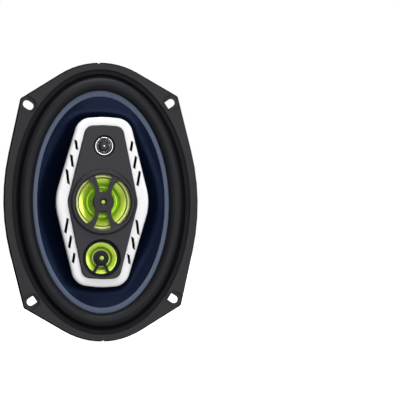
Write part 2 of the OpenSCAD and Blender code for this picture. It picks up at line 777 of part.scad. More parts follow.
slot_first = 20.5;         // first trim slot, from the pod's centre
slot_pitch = 13.5;
trim_slot_w = 2.3;
trim_slot_len = 13.8;
slot_shrink = 2.1;         // how much shorter each next slot is
slot_lean = 8.5;           // lean of a slot's sides
slot_slant = 32;           // slant of its ends

// The slots lean with the frame's sides, and their ends all slope the same way.
module trim_slots_2d() {
    w = trim_slot_w / 2;
    slope = trim_slot_w * tan(slot_slant);
    for (sx = [-1, 1], sy = [-1, 1], i = [0 : 2]) {
        y = slot_first + slot_pitch * i;
        h = (trim_slot_len - slot_shrink * i) / 2;
        lean = sx * sy * tan(slot_lean);
        translate([sx * band_mid(y), sy * y]) polygon([for (p = [[-w, slope - h], [w, -h],
            [w, h - slope], [-w, h]]) [p.x + p.y * lean, p.y]]);
    }
}

module trim_plate() pod_stand() color("#f2f2f4") translate([0, 0, base_z]) {
    skin = 1.8;
    difference() {
        crowned(trim_corners, [[0, 0], [0, trim_t - 2.4], [0.35, trim_t - 1.3],
            [1.1, trim_t - 0.6], [2.4, trim_t - 0.15], [4, trim_t]]);
        translate([0, 0, -eps]) linear_extrude(trim_t + 1) face_2d();
        translate([0, 0, -eps]) linear_extrude(trim_t - skin - 0.6) difference() {
            trim_2d(moulding_t);
            face_2d(-moulding_t);
        }
        translate([0, 0, -eps]) linear_extrude(trim_t + 1) trim_slots_2d();
    }
}

// --- midrange: grille, tip, surround, cone, coil, frame, magnet and yoke ---

mid_z = pod_z - 4.5;                // rim of the midrange cone
mid_cone_r = mid_d / 2 - 2.8;
mid_neck_r = 6.3;
mid_depth = 7;
mid_coil_r = 6;
mid_floor = cup_back + moulding_t;  // front face of the cup's floor
mid_yoke_t = 1.5;
mid_magnet_t = 3.3;
mid_magnet_r = 14.3;
mid_magnet_back = mid_floor + mid_yoke_t;
mid_plate_z = mid_magnet_back + mid_magnet_t;
mid_plate_t = 1.2;
mid_neck_z = mid_z - 0.5 - mid_depth;
mid_cone_steps = 9;
mid_cap_step = 4;                   // the cap's foot is glued at this step of the cone
mid_cap_rise = 2.6;

// Two of the grille's four curved ribs lie beside each D-shaped side window.
module mid_ribs_2d() {
    bow_r = 50;             // curve along the top and bottom windows
    bow_x = bow_r + 2.5;
    bend_r = 10.3;          // rounded corners of the side windows
    bend_x = 17.3;
    bend_y = 8.5;
    for (side = [0, 1]) mirror([side, 0]) intersection() {
        circle(r = mid_d / 2 + 0.6);
        difference() {
            translate([-bow_x, 0]) circle(r = bow_r);
            for (s = [-1, 1]) translate([-bend_x, s * bend_y]) circle(r = bend_r);
            translate([-mid_d, -bend_y]) square([mid_d - bend_x + bend_r, 2 * bend_y]);
            translate([-mid_d, -bend_y - bend_r])
                square([mid_d - bend_x, 2 * (bend_y + bend_r)]);
        }
    }
}

module mid_grille() pod_stand() color("#36373c") translate([0, 0, pod_z]) {
    r = mid_d / 2;
    h = mid_ring_h;
    rotate_extrude() polygon([
        [mid_ring_d / 2, 0], [mid_ring_d / 2, 0.7], [mid_ring_d / 2 - 0.5, 1.5],
        [mid_ring_d / 2 - 1.5, h], [r + 1, h], [r + 0.2, h - 0.7], [r, h - 1.6], [r, -2.2],
        [mid_bore_r - slide, -2.2], [mid_bore_r - slide, 0]]);
    difference() {
        union() {
            translate([0, 0, -0.8]) linear_extrude(h) mid_ribs_2d();
            translate([0, 0, -1.6]) cylinder(r1 = mid_hub_d / 2 - 0.6, r2 = mid_hub_d / 2, h = 0.8);
            translate([0, 0, -0.8]) cylinder(r = mid_hub_d / 2, h = h - 0.3);
            translate([0, 0, h - 1.1 - eps])
                cylinder(r1 = mid_hub_d / 2, r2 = mid_hub_d / 2 - 1.5, h = 0.8);
        }
        translate([0, 0, -5]) cylinder(r = tip_r + slide, h = 20);
        translate([0, 0, h - 0.9]) cylinder(r1 = tip_r + 0.4, r2 = tip_r + 1.4, h = 1);
    }
}

tip_r = 2.4;

module mid_tip() pod_stand() color("#bfe04a") translate([0, 0, pod_z - 1.6]) rotate_extrude()
    polygon([[0, 0], [tip_r, 0], [tip_r, 1.9], [tip_r - 0.35, 2.5], [tip_r - 1.1, 3],
        [0, 3.2]]);

module mid_surround() pod_stand() color("#c3e04a") translate([0, 0, mid_z]) {
    r1 = mid_d / 2 - 0.2;
    r0 = mid_cone_r + 0.3;
    n = 6;
    m = (r0 + r1) / 2;
    w = (r1 - r0) / 2;
    rotate_extrude() polygon(concat(
        [[mid_bore_r - 0.4, 0], [mid_bore_r - 0.4, 0.4]],
        [for (i = [0 : n]) [m + w * cos(180 * i / n), 0.4 + 1.1 * sin(180 * i / n)]],
        [[r0 - 1, 0.4], [r0 - 1, 0]],
        [for (i = [n : -1 : 0]) [m + (w - 0.4) * cos(180 * i / n), 1.1 * sin(180 * i / n)]]));
}

// The cone's front: steep at the neck and nearly flat at the rim.
function mid_profile(s) = [mid_neck_r + (mid_cone_r - mid_neck_r) * s,
    -mid_depth * pow(1 - s, 1.6)];

module mid_cone() pod_stand() color("#a9cf35") translate([0, 0, mid_z - 0.5]) rotate_extrude() {
    n = mid_cone_steps;
    t = 0.5;
    front = [for (i = [0 : n]) mid_profile(i / n)];
    polygon(concat(front, [[mid_cone_r + 1, 0], [mid_cone_r + 1, -0.4]],
        [for (i = [n : -1 : 0]) front[i] + [0.2, -t]]));
}

// The dust cap is a shallow dome glued to the cone outside its neck.
module mid_cap() pod_stand() color("#8fb82c") rotate_extrude() {
    n = 6;
    t = 0.4;
    foot = mid_profile(mid_cap_step / mid_cone_steps) + [0, mid_z - 0.5 + glue];
    front = [for (i = [0 : n]) [foot.x * sin(90 * i / n),
        foot.y + t + mid_cap_rise * cos(90 * i / n)]];
    polygon(concat(front, [for (i = [n : -1 : 0]) [(foot.x - t) / foot.x * front[i].x,
        front[i].y - t]]));
}

module mid_coil() pod_stand() color("#9b6a3c") {
    wall = 0.2;
    back = mid_magnet_back + mid_travel + seat;
    mid = mid_plate_z + mid_plate_t / 2;
    tube(mid_coil_r + wall, mid_coil_r, back, mid_neck_z + 0.6);
    tube(mid_coil_r + wall + 0.4, mid_coil_r + wall, mid - 1.5, mid + 1.5);
}

module mid_frame() pod_stand() color("#2a2b2d") {
    front = mid_plate_z + mid_plate_t;
    r = mid_bore_r - 0.3;
    rim = mid_z - slide;
    lip = 1.6;
    rotate_extrude() polygon([
        [r, rim], [r, rim - mid_plate_t], [mid_magnet_r + 1, mid_plate_z],
        [mid_coil_r + 1, mid_plate_z], [mid_coil_r + 1, front],
        [mid_magnet_r + 0.4, front], [r - lip, rim - 1], [r - lip, rim]]);
}

module mid_magnet() pod_stand() color("#2f2f31")
    tube(mid_magnet_r, mid_coil_r + 2, mid_magnet_back, mid_plate_z);

module mid_yoke() pod_stand() color("#a2a3a5") translate([0, 0, mid_floor]) difference() {
    pole_h = mid_yoke_t + mid_magnet_t + mid_plate_t;
    union() {
        cylinder(r = mid_magnet_r - 0.6, h = mid_yoke_t);
        cylinder(r = mid_coil_r - motor_gap, h = pole_h);
    }
    translate([0, 0, -1]) cylinder(r = wire_bore_r, h = pole_h + 2);
}

module capacitor(r, length) {
    c = 0.5;
    rotate([0, 90, 0]) rotate_extrude() polygon([[0, 0], [r - c, 0], [r, c],
        [r, 1.6], [r - c, 2], [r, 2.4], [r, length - c], [r - c, length], [0, length]]);
}

cap_y = (mid_bore_r + tweeter_y - super_bore_r) / 2;
cap_z = base_z + slide;

module mid_capacitor() pod_stand() color("#2d4f7c")
    translate([-13, cap_y, cap_z + 3.15]) capacitor(3.15, 11.5);

module tweeter_capacitor() pod_stand() color("#2d4f7c")
    translate([1, cap_y, cap_z + 2.5]) capacitor(2.5, 11);

// --- cone tweeter below the midrange ---

tweeter_z = pod_z - 3.6;            // rim of the tweeter's cone
tweeter_floor = base_z - 5.5 + moulding_t;
tweeter_hub_r = 5.75;
tweeter_ring_r = 7.35;
tweeter_rim_t = 0.4;
tweeter_rim_drop = 0.5;             // slope of the cone's outer edge

module at_tweeter() pod_stand() translate([0, -tweeter_y, 0]) children();

module tweeter_bridge() at_tweeter() color("#2b2c30") {
    ledge = pod_z - 3;
    difference() {
        union() {
            translate([0, 0, ledge - 0.4]) rotate_extrude() polygon([[0, 0],
                [tweeter_hub_r - 0.8, 0], [tweeter_hub_r, 0.8], [tweeter_hub_r, 2.2],
                [tweeter_hub_r - 1.4, 2.9], [0, 2.9]]);
            for (s = [-1, 1]) rotate(-90 + s * 27) translate([tweeter_hub_r - 2, -1.2, ledge])
                cube([tweeter_bore_r + 0.8 - tweeter_hub_r + 2, 2.4, 1.4]);
        }
        translate([0, 0, ledge + 0.6]) cylinder(r = 1.9 + slide, h = 10);
    }
}

module tweeter_tip() at_tweeter() color("#c6e455")
    translate([0, 0, pod_z - 2.4 + slide]) rotate_extrude()
        polygon([[0, 0], [1.9, 0], [1.9, 2.2], [1.5, 2.9], [0.8, 3.2], [0, 3.3]]);

module tweeter_cone() at_tweeter() color("#b4d83c") translate([0, 0, tweeter_z]) {
    r = tweeter_d / 2 - 0.1;
    q = tweeter_ring_r;
    t = tweeter_rim_t;
    drop = tweeter_rim_drop;
    rotate_extrude() polygon([[q, -3.2], [q + 1.6, -2.9], [r - 1.2, -drop], [r, 0], [r, -t],
        [r - 1.2, -drop - t], [q + 1.6, -2.9 - t], [q, -3.2 - t]]);
}

module tweeter_dome() at_tweeter() color("#d9dade") translate([0, 0, tweeter_z]) {
    q = tweeter_ring_r - slide;
    rotate_extrude() polygon([[0, -1.6], [3, -1.9], [q - 1, -3], [q, -3], [q, -6.5],
        [q - 0.3, -6.5], [q - 0.3, -3.4], [q - 1.2, -3.4], [3, -2.3], [0, -2]]);
}

module tweeter_frame() at_tweeter() color("#8e8f92") {
    top = tweeter_z - tweeter_rim_t - tweeter_rim_drop - tweeter_travel - seat;
    r = tweeter_bore_r - slide;
    rotate_extrude() polygon([[r, top], [r, tweeter_floor], [tweeter_ring_r + 0.4, tweeter_floor],
        [tweeter_ring_r + 0.4, tweeter_floor + 1.5], [r - 1, tweeter_floor + 1.5],
        [r - 1, top]]);
}

module tweeter_magnet() at_tweeter() color("#303033")
    translate([0, 0, tweeter_floor]) cylinder(r = tweeter_ring_r - 1, h = 3.2);

// --- super tweeter above the midrange ---

module at_super() pod_stand() translate([0, tweeter_y, 0]) children();

super_z = pod_z - 1.3;              // rim of the chrome bowl
super_hub_r = 3.7;

module super_bowl() at_super() color("#dfe1e4") translate([0, 0, super_z]) {
    r = super_bore_r - slide;
    q = super_hub_r;
    rotate_extrude() polygon([[r, 0], [r, -0.8], [q + 1.6, -4.2], [q + 0.4, -4.4],
        [q + 0.4, -3.8], [q + 1.4, -3.6], [q + 1.9, -2.4], [r - 1.1, -1.2], [r - 0.5, 0]]);
}

module super_dome() at_super() color("#9a9ca0") translate([0, 0, super_z]) {
    q = super_hub_r;
    rotate_extrude() polygon([[0, -3], [q * 0.5, -3.2], [q, -3.9], [q, -4.3],
        [q * 0.5, -3.6], [0, -3.4]]);
}

module super_bridge() at_super() color("#2b2c30") {
    ledge = pod_z - 1;
    difference() {
        union() {
            translate([0, 0, ledge - 1]) rotate_extrude() polygon([[0, 0],
                [super_hub_r - 0.6, 0], [super_hub_r, 0.6], [super_hub_r, 1.7],
                [super_hub_r - 0.8, 2.2], [0, 2.2]]);
            for (s = [-1, 1]) rotate(90 + s * 25) translate([super_hub_r - 1, -0.5, ledge])
                cube([super_bore_r + 0.4 - super_hub_r + 1, 1, 0.9]);
        }
        translate([0, 0, ledge]) cylinder(r = 1 + slide, h = 10);
    }
}

module super_tip() at_super() color("#e6e8ea") translate([0, 0, pod_z - 1 + slide])
    rotate_extrude() polygon([[0, 0], [1, 0], [1, 1.2], [0.7, 1.6], [0, 1.75]]);

module super_magnet() at_super() color("#303033")
    translate([0, 0, base_z]) cylinder(r = super_hub_r + 1.4, h = super_z - 4.4 - base_z - seat);

basket();
gasket_ring();
surround();
woofer_cone();
dust_ring();
coil_former();
coil_winding();
spider();
front_plate();
plate_rivets();
magnet();
yoke();
terminal_board();
terminal_rivets();
terminal_positive();
terminal_negative();
tinsel_leads();
tweeter_post();
post_nut();
pod_back();
pod_front();
pod_screws();
trim_plate();
mid_grille();
mid_tip();
mid_surround();
mid_cone();
mid_cap();
mid_coil();
mid_frame();
mid_magnet();
mid_yoke();
mid_capacitor();
tweeter_bridge();
tweeter_tip();
tweeter_cone();
tweeter_dome();
tweeter_frame();
tweeter_magnet();
tweeter_capacitor();
super_bridge();
super_tip();
super_bowl();
super_dome();
super_magnet();
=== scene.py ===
import math

import bpy
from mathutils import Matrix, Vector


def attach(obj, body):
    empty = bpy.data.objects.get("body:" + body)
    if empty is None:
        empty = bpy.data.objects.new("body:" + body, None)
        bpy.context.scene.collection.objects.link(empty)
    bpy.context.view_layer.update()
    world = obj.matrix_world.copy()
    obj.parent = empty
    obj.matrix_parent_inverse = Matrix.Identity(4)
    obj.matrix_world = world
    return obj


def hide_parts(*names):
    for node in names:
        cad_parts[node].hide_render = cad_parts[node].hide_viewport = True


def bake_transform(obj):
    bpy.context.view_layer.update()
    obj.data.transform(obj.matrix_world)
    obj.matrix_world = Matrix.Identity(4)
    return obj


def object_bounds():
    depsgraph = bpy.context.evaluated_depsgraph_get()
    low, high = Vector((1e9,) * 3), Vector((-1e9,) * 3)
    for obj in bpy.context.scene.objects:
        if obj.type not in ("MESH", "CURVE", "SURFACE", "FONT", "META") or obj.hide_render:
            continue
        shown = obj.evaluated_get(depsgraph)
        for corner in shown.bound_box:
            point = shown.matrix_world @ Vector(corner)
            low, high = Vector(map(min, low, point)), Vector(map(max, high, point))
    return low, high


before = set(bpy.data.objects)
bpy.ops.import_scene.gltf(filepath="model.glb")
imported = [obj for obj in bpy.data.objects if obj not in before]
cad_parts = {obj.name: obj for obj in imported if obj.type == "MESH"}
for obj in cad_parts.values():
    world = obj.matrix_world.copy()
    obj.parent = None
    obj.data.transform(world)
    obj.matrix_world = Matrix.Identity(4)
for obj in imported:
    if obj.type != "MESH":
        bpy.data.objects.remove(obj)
size_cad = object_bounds()


# Studio: a pale sweep under soft boxes, with a light tent that is bright above and dim at the
# sides. The speaker stands upright on the sweep, as it is held in a display stand.
def add_node(tree, kind, inputs=None, **settings):
    """Adds a shader node. An input is a value, or the socket that feeds it."""
    made = tree.nodes.new(kind)
    for key, value in settings.items():
        setattr(made, key, value)
    for key, value in (inputs or {}).items():
        if isinstance(value, bpy.types.NodeSocket):
            tree.links.new(value, made.inputs[key])
        else:
            made.inputs[key].default_value = value
    return made


def feed(shader, **sockets):
    """Links each socket to the shader's input of that name, with _ for a space."""
    for key, socket in sockets.items():
        shader.id_data.links.new(socket, shader.inputs[key.replace("_", " ")])


sweep_size = 12
bpy.ops.mesh.primitive_plane_add(size=sweep_size, location=(0, 0, size_cad[0].z))
sweep = bpy.context.object
sweep.name = "sweep"
sweep_paper = bpy.data.materials.new("sweep_paper")
sweep_paper.use_nodes = True
tree = sweep_paper.node_tree
shader = tree.nodes["Principled BSDF"]
shader.inputs["Roughness"].default_value = 0.9
shader.inputs["Specular IOR Level"].default_value = 0.1
rays = add_node(tree, "ShaderNodeLightPath")
# to the speaker the sweep is grey below it, with dark cards laid along both its sides
paper_white, paper_lift, below_grey, card_grey = 0.82, 0.6, 0.42, 0.12
cards_from, cards_full = 0.1, 0.19
place = add_node(tree, "ShaderNodeSeparateXYZ",
                 {0: add_node(tree, "ShaderNodeTexCoord").outputs["Object"]})
aside = add_node(tree, "ShaderNodeMath", {0: place.outputs["X"]}, operation="ABSOLUTE")
cards = add_node(tree, "ShaderNodeMapRange",
                 {0: aside.outputs[0], 1: cards_from, 2: cards_full, 3: below_grey, 4: card_grey},
                 interpolation_type="SMOOTHSTEP")
paper = add_node(tree, "ShaderNodeMix",
                 {0: rays.outputs["Is Camera Ray"], 6: cards.outputs[0],
                  7: (paper_white, paper_white, paper_white, 1)}, data_type="RGBA")
lift = add_node(tree, "ShaderNodeMath", {0: rays.outputs["Is Camera Ray"], 1: paper_lift},
                operation="MULTIPLY")
shader.inputs["Emission Color"].default_value = (1, 1, 1, 1)
feed(shader, Base_Color=paper.outputs[2], Emission_Strength=lift.outputs[0])
sweep.data.materials.append(sweep_paper)

tent = bpy.data.worlds.new("light_tent")
bpy.context.scene.world = tent
tent.use_nodes = True
tree = tent.node_tree
# how bright the tent is overhead, at its sides, round the lens and behind the speaker
tent_roof, tent_sides, tent_lens, tent_rear = 1.4, 0.22, 3.4, 0.75
roof_from, roof_full, lens_from, lens_full = 0.58, 0.92, -0.87, -0.97
rear_from, rear_full = -0.1, 0.4
tent_light = tree.nodes["Background"]
tent_light.inputs["Color"].default_value = (1, 1, 1, 1)
direction = add_node(tree, "ShaderNodeSeparateXYZ",
                     {0: add_node(tree, "ShaderNodeTexCoord").outputs["Generated"]})
roof = add_node(tree, "ShaderNodeMapRange",
                {0: direction.outputs["Z"], 1: roof_from, 2: roof_full, 3: tent_sides,
                 4: tent_roof}, interpolation_type="SMOOTHSTEP")
front = add_node(tree, "ShaderNodeMapRange",
                 {0: direction.outputs["Y"], 1: lens_full, 2: lens_from, 3: tent_lens,
                  4: 0.0}, interpolation_type="SMOOTHSTEP")
walls = add_node(tree, "ShaderNodeMath", {0: roof.outputs[0], 1: front.outputs[0]},
                 operation="MAXIMUM")
behind = add_node(tree, "ShaderNodeMapRange",
                  {0: direction.outputs["Y"], 1: rear_from, 2: rear_full},
                  interpolation_type="SMOOTHSTEP")
rays = add_node(tree, "ShaderNodeLightPath")
rear = add_node(tree, "ShaderNodeMath", {0: behind.outputs[0], 1: tent_rear},
                operation="MULTIPLY")
walls = add_node(tree, "ShaderNodeMath", {0: walls.outputs[0], 1: rear.outputs[0]},
                 operation="MAXIMUM")
mirrored = add_node(tree, "ShaderNodeMath", {0: rays.outputs["Is Glossy Ray"],
                                             1: rays.outputs["Is Transmission Ray"]},
                    operation="MAXIMUM")
mirrored = add_node(tree, "ShaderNodeMath", {0: mirrored.outputs[0], 1: behind.outputs[0]},
                    operation="MULTIPLY")
backdrop = add_node(tree, "ShaderNodeMath", {0: rays.outputs["Is Camera Ray"],
                                             1: mirrored.outputs[0]}, operation="MAXIMUM")
level = add_node(tree, "ShaderNodeMix", {0: backdrop.outputs[0], 2: walls.outputs[0], 3: 1.0})
tree.links.new(level.outputs[0], tent_light.inputs["Strength"])

# soft boxes: place, the point that each one faces, width, height and watts
for name, place, aim, width, height, watts in (
    ("roof_box", (0.1, -0.7, 1.45), (0, 0, 0.02), 1.5, 0.7, 16),
    ("right_box", (0.85, -1.0, 0.0), (0, 0, 0), 0.42, 0.6, 4.5),
    ("back_box", (-0.5, 1.5, 0.8), (0, 0, 0), 0.9, 0.9, 12),
):
    lamp = bpy.data.lights.new(name, "AREA")
    lamp.shape = "RECTANGLE"
    lamp.size = width
    lamp.size_y = height
    lamp.energy = watts
    box = bpy.data.objects.new(name, lamp)
    bpy.context.scene.collection.objects.link(box)
    box.location = place
    turn = [a - b for a, b in zip(place, aim)]
    box.rotation_euler = (math.atan2(math.hypot(turn[0], turn[1]), turn[2]), 0,
                          math.atan2(turn[0], -turn[1]))

# camera: a long lens, level with the speaker and a little to its left
picture_width = 0.337
distance = 4.0
sideways = math.radians(-8.6)
roll = math.radians(0.88)
beside = 0.0837
above = 0.0005
camera = bpy.data.cameras.new("camera")
camera.sensor_width = 36
camera.lens = camera.sensor_width * distance / picture_width
camera.clip_end = 20
stand = bpy.data.objects.new("camera", camera)
bpy.context.scene.collection.objects.link(stand)
bpy.context.scene.camera = stand
stand.location = (distance * math.sin(sideways) + beside * math.cos(sideways),
                  -distance * math.cos(sideways) + beside * math.sin(sideways), above)
stand.rotation_euler = (math.pi / 2, roll, sideways)
bpy.context.scene.view_settings.view_transform = "Standard"


# Basket: pressed steel, sprayed satin black, with the flange, the spokes and the cup in one
# pressing. The paint is a little thin along its edges.
def texture_group(name, inputs, outputs):
    """An empty node group with the given number inputs and outputs."""
    group = bpy.data.node_groups.new(name, "ShaderNodeTree")
    for key, value in inputs.items():
        group.interface.new_socket(key, in_out="INPUT", socket_type="NodeSocketFloat")
        group.interface.items_tree[key].default_value = value
    for key in outputs:
        group.interface.new_socket(key, in_out="OUTPUT", socket_type="NodeSocketFloat")
    return group, group.nodes.new("NodeGroupInput").outputs, group.nodes.new("NodeGroupOutput")


# wear shows where the rounded surface leans off the flat one, as a cosine, and in patches
lean_from, lean_full, patch_from, patch_full, patches_per_m = 0.985, 0.9, 0.42, 0.62, 90
edge_wear, given, result = texture_group("edge_wear", {"Width": 0.0006, "Amount": 1.0}, ["Mask"])
rounded = add_node(edge_wear, "ShaderNodeBevel", {"Radius": given["Width"]}, samples=4)
flat = add_node(edge_wear, "ShaderNodeNewGeometry")
facing = add_node(edge_wear, "ShaderNodeVectorMath",
                  {0: rounded.outputs[0], 1: flat.outputs["Normal"]}, operation="DOT_PRODUCT")
sharp = add_node(edge_wear, "ShaderNodeMapRange",
                 {0: facing.outputs["Value"], 1: lean_from, 2: lean_full, 3: 0, 4: 1})
rubbed = add_node(edge_wear, "ShaderNodeTexNoise",
                  {"Vector": add_node(edge_wear, "ShaderNodeTexCoord").outputs["Object"],
                   "Scale": patches_per_m, "Detail": 3})
patchy = add_node(edge_wear, "ShaderNodeMapRange",
                  {0: rubbed.outputs[0], 1: patch_from, 2: patch_full})
mask = add_node(edge_wear, "ShaderNodeMath", {0: sharp.outputs[0], 1: patchy.outputs[0]},
                operation="MULTIPLY")
mask = add_node(edge_wear, "ShaderNodeMath", {0: mask.outputs[0], 1: given["Amount"]},
                operation="MULTIPLY", use_clamp=True)
edge_wear.links.new(mask.outputs[0], result.inputs["Mask"])

grain, given, result = texture_group("grain", {"Size": 0.001, "Cloud size": 0.03},
                                     ["Height", "Cloud"])
here = add_node(grain, "ShaderNodeTexCoord").outputs["Object"]
fine = add_node(grain, "ShaderNodeMath", {0: 1.0, 1: given["Size"]}, operation="DIVIDE")
broad = add_node(grain, "ShaderNodeMath", {0: 1.0, 1: given["Cloud size"]}, operation="DIVIDE")
pits = add_node(grain, "ShaderNodeTexNoise",
                {"Vector": here, "Scale": fine.outputs[0], "Detail": 2, "Roughness": 0.6})
cloud = add_node(grain, "ShaderNodeTexNoise",
                 {"Vector": here, "Scale": broad.outputs[0], "Detail": 3})
grain.links.new(pits.outputs[0], result.inputs["Height"])
grain.links.new(cloud.outputs[0], result.inputs["Cloud"])


cloud_low, cloud_high, coat_roughness = 0.3, 0.7, 0.05


def finish(name, colour, roughness, grain_size=0.001, grain_depth=0.00002, cloud_size=0.03,
           shade=0.12, uneven=0.08, metal=0.0, wear=0.0, worn_colour=(0.3, 0.3, 0.3),
           wear_width=0.0005, specular=0.5, coat=0.0):
    """A surface with grain in its relief, clouds in its shade and gloss, and worn edges."""
    made = bpy.data.materials.new(name)
    made.use_nodes = True
    tree = made.node_tree
    shader = tree.nodes["Principled BSDF"]
    shader.inputs["Metallic"].default_value = metal
    shader.inputs["Specular IOR Level"].default_value = specular
    shader.inputs["Coat Weight"].default_value = coat
    shader.inputs["Coat Roughness"].default_value = coat_roughness
    texture = add_node(tree, "ShaderNodeGroup", node_tree=grain)
    texture.inputs["Size"].default_value = grain_size
    texture.inputs["Cloud size"].default_value = cloud_size
    dark = [c * (1 - shade) for c in colour] + [1]
    light = [min(1, c * (1 + shade)) for c in colour] + [1]
    spread = add_node(tree, "ShaderNodeMapRange",
                      {0: texture.outputs["Cloud"], 1: cloud_low, 2: cloud_high})
    tint = add_node(tree, "ShaderNodeMix", {0: spread.outputs[0], 6: dark, 7: light},
                    data_type="RGBA")
    gloss = add_node(tree, "ShaderNodeMapRange",
                     {0: spread.outputs[0], 3: roughness - uneven / 2, 4: roughness + uneven / 2})
    surface = tint.outputs[2]
    if wear:
        edges = add_node(tree, "ShaderNodeGroup", node_tree=edge_wear)
        edges.inputs["Width"].default_value = wear_width
        edges.inputs["Amount"].default_value = wear
        worn = add_node(tree, "ShaderNodeMix",
                        {0: edges.outputs["Mask"], 6: surface, 7: (*worn_colour, 1)},
                        data_type="RGBA")
        surface = worn.outputs[2]
    bump = add_node(tree, "ShaderNodeBump", {"Height": texture.outputs["Height"],
                                             "Distance": grain_depth})
    feed(shader, Base_Color=surface, Roughness=gloss.outputs[0], Normal=bump.outputs[0])
    return made


def dress(material, *nodes):
    """Gives pieces that keep their CAD mesh their finish."""
    for name in nodes:
        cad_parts[name].material_slots[0].material = material


black_paint = finish("black_paint", (0.010, 0.010, 0.011), 0.4, grain_size=0.0008,
                     grain_depth=0.00003, wear=0.4, worn_colour=(0.06, 0.06, 0.065),
                     specular=0.35)


# faces that meet within flat_within become one, and edges sharper than sharp_over are rounded
weld_within, flat_within, sharp_over = 2e-6, math.radians(1.0), math.radians(32)


def moulding(node, name, body, material, edge):
    """A piece made from its CAD solid: seams merged, flats joined, sharp edges rounded."""
    bpy.ops.object.select_all(action="DESELECT")
    piece = bpy.data.objects.new(name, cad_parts[node].data.copy())
    bpy.context.scene.collection.objects.link(piece)
    bpy.context.view_layer.objects.active = piece
    piece.select_set(True)
    bpy.ops.mesh.customdata_custom_splitnormals_clear()
    bpy.ops.object.mode_set(mode="EDIT")
    bpy.ops.mesh.select_all(action="SELECT")
    bpy.ops.mesh.remove_doubles(threshold=weld_within)
    bpy.ops.mesh.dissolve_limited(angle_limit=flat_within)
    bpy.ops.object.mode_set(mode="OBJECT")
    bevel = piece.modifiers.new("edges", "BEVEL")
    bevel.width = edge
    bevel.segments = 2
    bevel.limit_method = "ANGLE"
    bevel.angle_limit = sharp_over
    bpy.ops.object.modifier_apply(modifier="edges")
    bpy.ops.object.shade_smooth_by_angle(angle=sharp_over)
    even = piece.modifiers.new("flats", "WEIGHTED_NORMAL")
    even.keep_sharp = True
    bpy.ops.object.modifier_apply(modifier="flats")
    piece.data.materials.clear()
    piece.data.materials.append(material)
    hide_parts(node)
    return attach(piece, body)


def second_finish(piece, wanted, number=1):
    """Gives a piece's second material, or one by number, to the faces wanted(face) picks."""
    for face in piece.data.polygons:
        if wanted(face):
            face.material_index = number


def faces_front(face):
    """Whether a face looks to the speaker's front."""
    return face.normal.y < -0.9


# the flange's front and edge, which the gasket mostly covers, are painted dull black as shade
# painted shade: a dull black for places where little light reaches
painted_shade_black = finish("painted_shade_black", (0.003, 0.003, 0.0035), 0.7, grain_size=0.0008,
                    grain_depth=0.00003, specular=0.06)
basket = moulding("basket", "basket_pressing", "frame", black_paint, edge=0.0003)
basket.data.materials.append(painted_shade_black)
flange_back = 0.0002
second_finish(basket, lambda face: -face.center.y > flange_back)


# Gasket ring: a moulded polypropylene ring with a fine spark-eroded grain, clipped over the
# flange. It holds the surround's outer lip down, and it seals against the car's panel.
gasket_grain = finish("gasket_grain", (0.021, 0.020, 0.024), 0.55, grain_size=0.0006,
                      grain_depth=0.00004, cloud_size=0.05, shade=0.06, specular=0.25)
# painted shade: the ledge, which lies lower than the face, is painted darker
ledge_painted_shade = finish("ledge_painted_shade", (0.010, 0.010, 0.012), 0.6, grain_size=0.0006,
                     grain_depth=0.00004, cloud_size=0.05, shade=0.06, specular=0.1)
gasket_edge, ledge_level = 0.0006, 0.0031
gasket = moulding("gasket_ring", "gasket_moulding", "frame", gasket_grain,
                  edge=gasket_edge)
gasket.data.materials.append(ledge_painted_shade)
gasket.data.materials.append(painted_shade_black)
# the lower ledge is painted darker than the face as shade, and the walls and their rounded edges
# are painted dull black as shade
second_finish(gasket, lambda face: abs(face.normal.y) < 0.97, number=2)
second_finish(gasket, lambda face: faces_front(face)
              and abs(face.center.y + ledge_level) < 0.0002)


# Spider: cotton cloth dipped in resin and pressed into rings of waves. It is glued to the
# coil's former inside and to the basket's shelf outside, and it bends as the cone moves.
def lofted(name, rings, around, centre=(0, 0)):
    """A closed wall drawn out through ovals in mm, each (half width, half height, level in
    front of the flange's back), and from the last to the first. centre is its x and z."""
    bpy.ops.object.select_all(action="DESELECT")
    bpy.ops.mesh.primitive_circle_add(vertices=around, radius=1, rotation=(math.pi / 2, 0, 0))
    bpy.ops.object.transform_apply(location=False, rotation=True, scale=False)
    piece = bpy.context.object
    piece.name = name
    bpy.ops.object.mode_set(mode="EDIT")
    bpy.ops.mesh.select_all(action="SELECT")
    width, height, level = rings[0]
    bpy.ops.transform.resize(value=(width, 1, height), center_override=(0, 0, 0))
    bpy.ops.transform.translate(value=(0, -level, 0))
    for ring in rings[1:] + rings[:1]:
        bpy.ops.mesh.extrude_region_move(
            TRANSFORM_OT_translate={"value": (0, level - ring[2], 0)})
        bpy.ops.transform.resize(value=(ring[0] / width, 1, ring[1] / height),
                                 center_override=(0, 0, 0))
        width, height, level = ring
    bpy.ops.mesh.select_all(action="SELECT")
    bpy.ops.transform.resize(value=(0.001, 0.001, 0.001), center_override=(0, 0, 0))
    bpy.ops.transform.translate(value=(centre[0] / 1000, 0, centre[1] / 1000))
    bpy.ops.mesh.remove_doubles(threshold=1e-6)
    bpy.ops.mesh.normals_make_consistent(inside=False)
    bpy.ops.object.mode_set(mode="OBJECT")
    bpy.ops.object.shade_smooth_by_angle(angle=math.radians(40))
    return piece


def round_rings(profile, wider=0.0, lower=0.0):
    """Rings for a round piece from its profile in mm, made wider and set back by so much."""
    return [(max(0.001, r + wider), max(0.001, r + wider), level - lower)
            for r, level in profile]


def stands_for(piece, node, slot, body, *materials):
    """Hides the CAD node behind its finished piece, which rides on the given body if one is
    given.
    """
    piece.data.materials.clear()
    for material in materials:
        piece.data.materials.append(material)
    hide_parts(node)
    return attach(piece, body) if body else piece


def bends(piece, share):
    """Bakes a piece's transform and works out share(x, z) in mm for each point, clamped from 0 to
    1:
    0 where it is held by the frame and 1 where it goes with the cone. The share is not applied."""
    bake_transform(piece)
    for point in piece.data.vertices:
        part = min(1, max(0, share(point.co.x * 1000, point.co.z * 1000)))


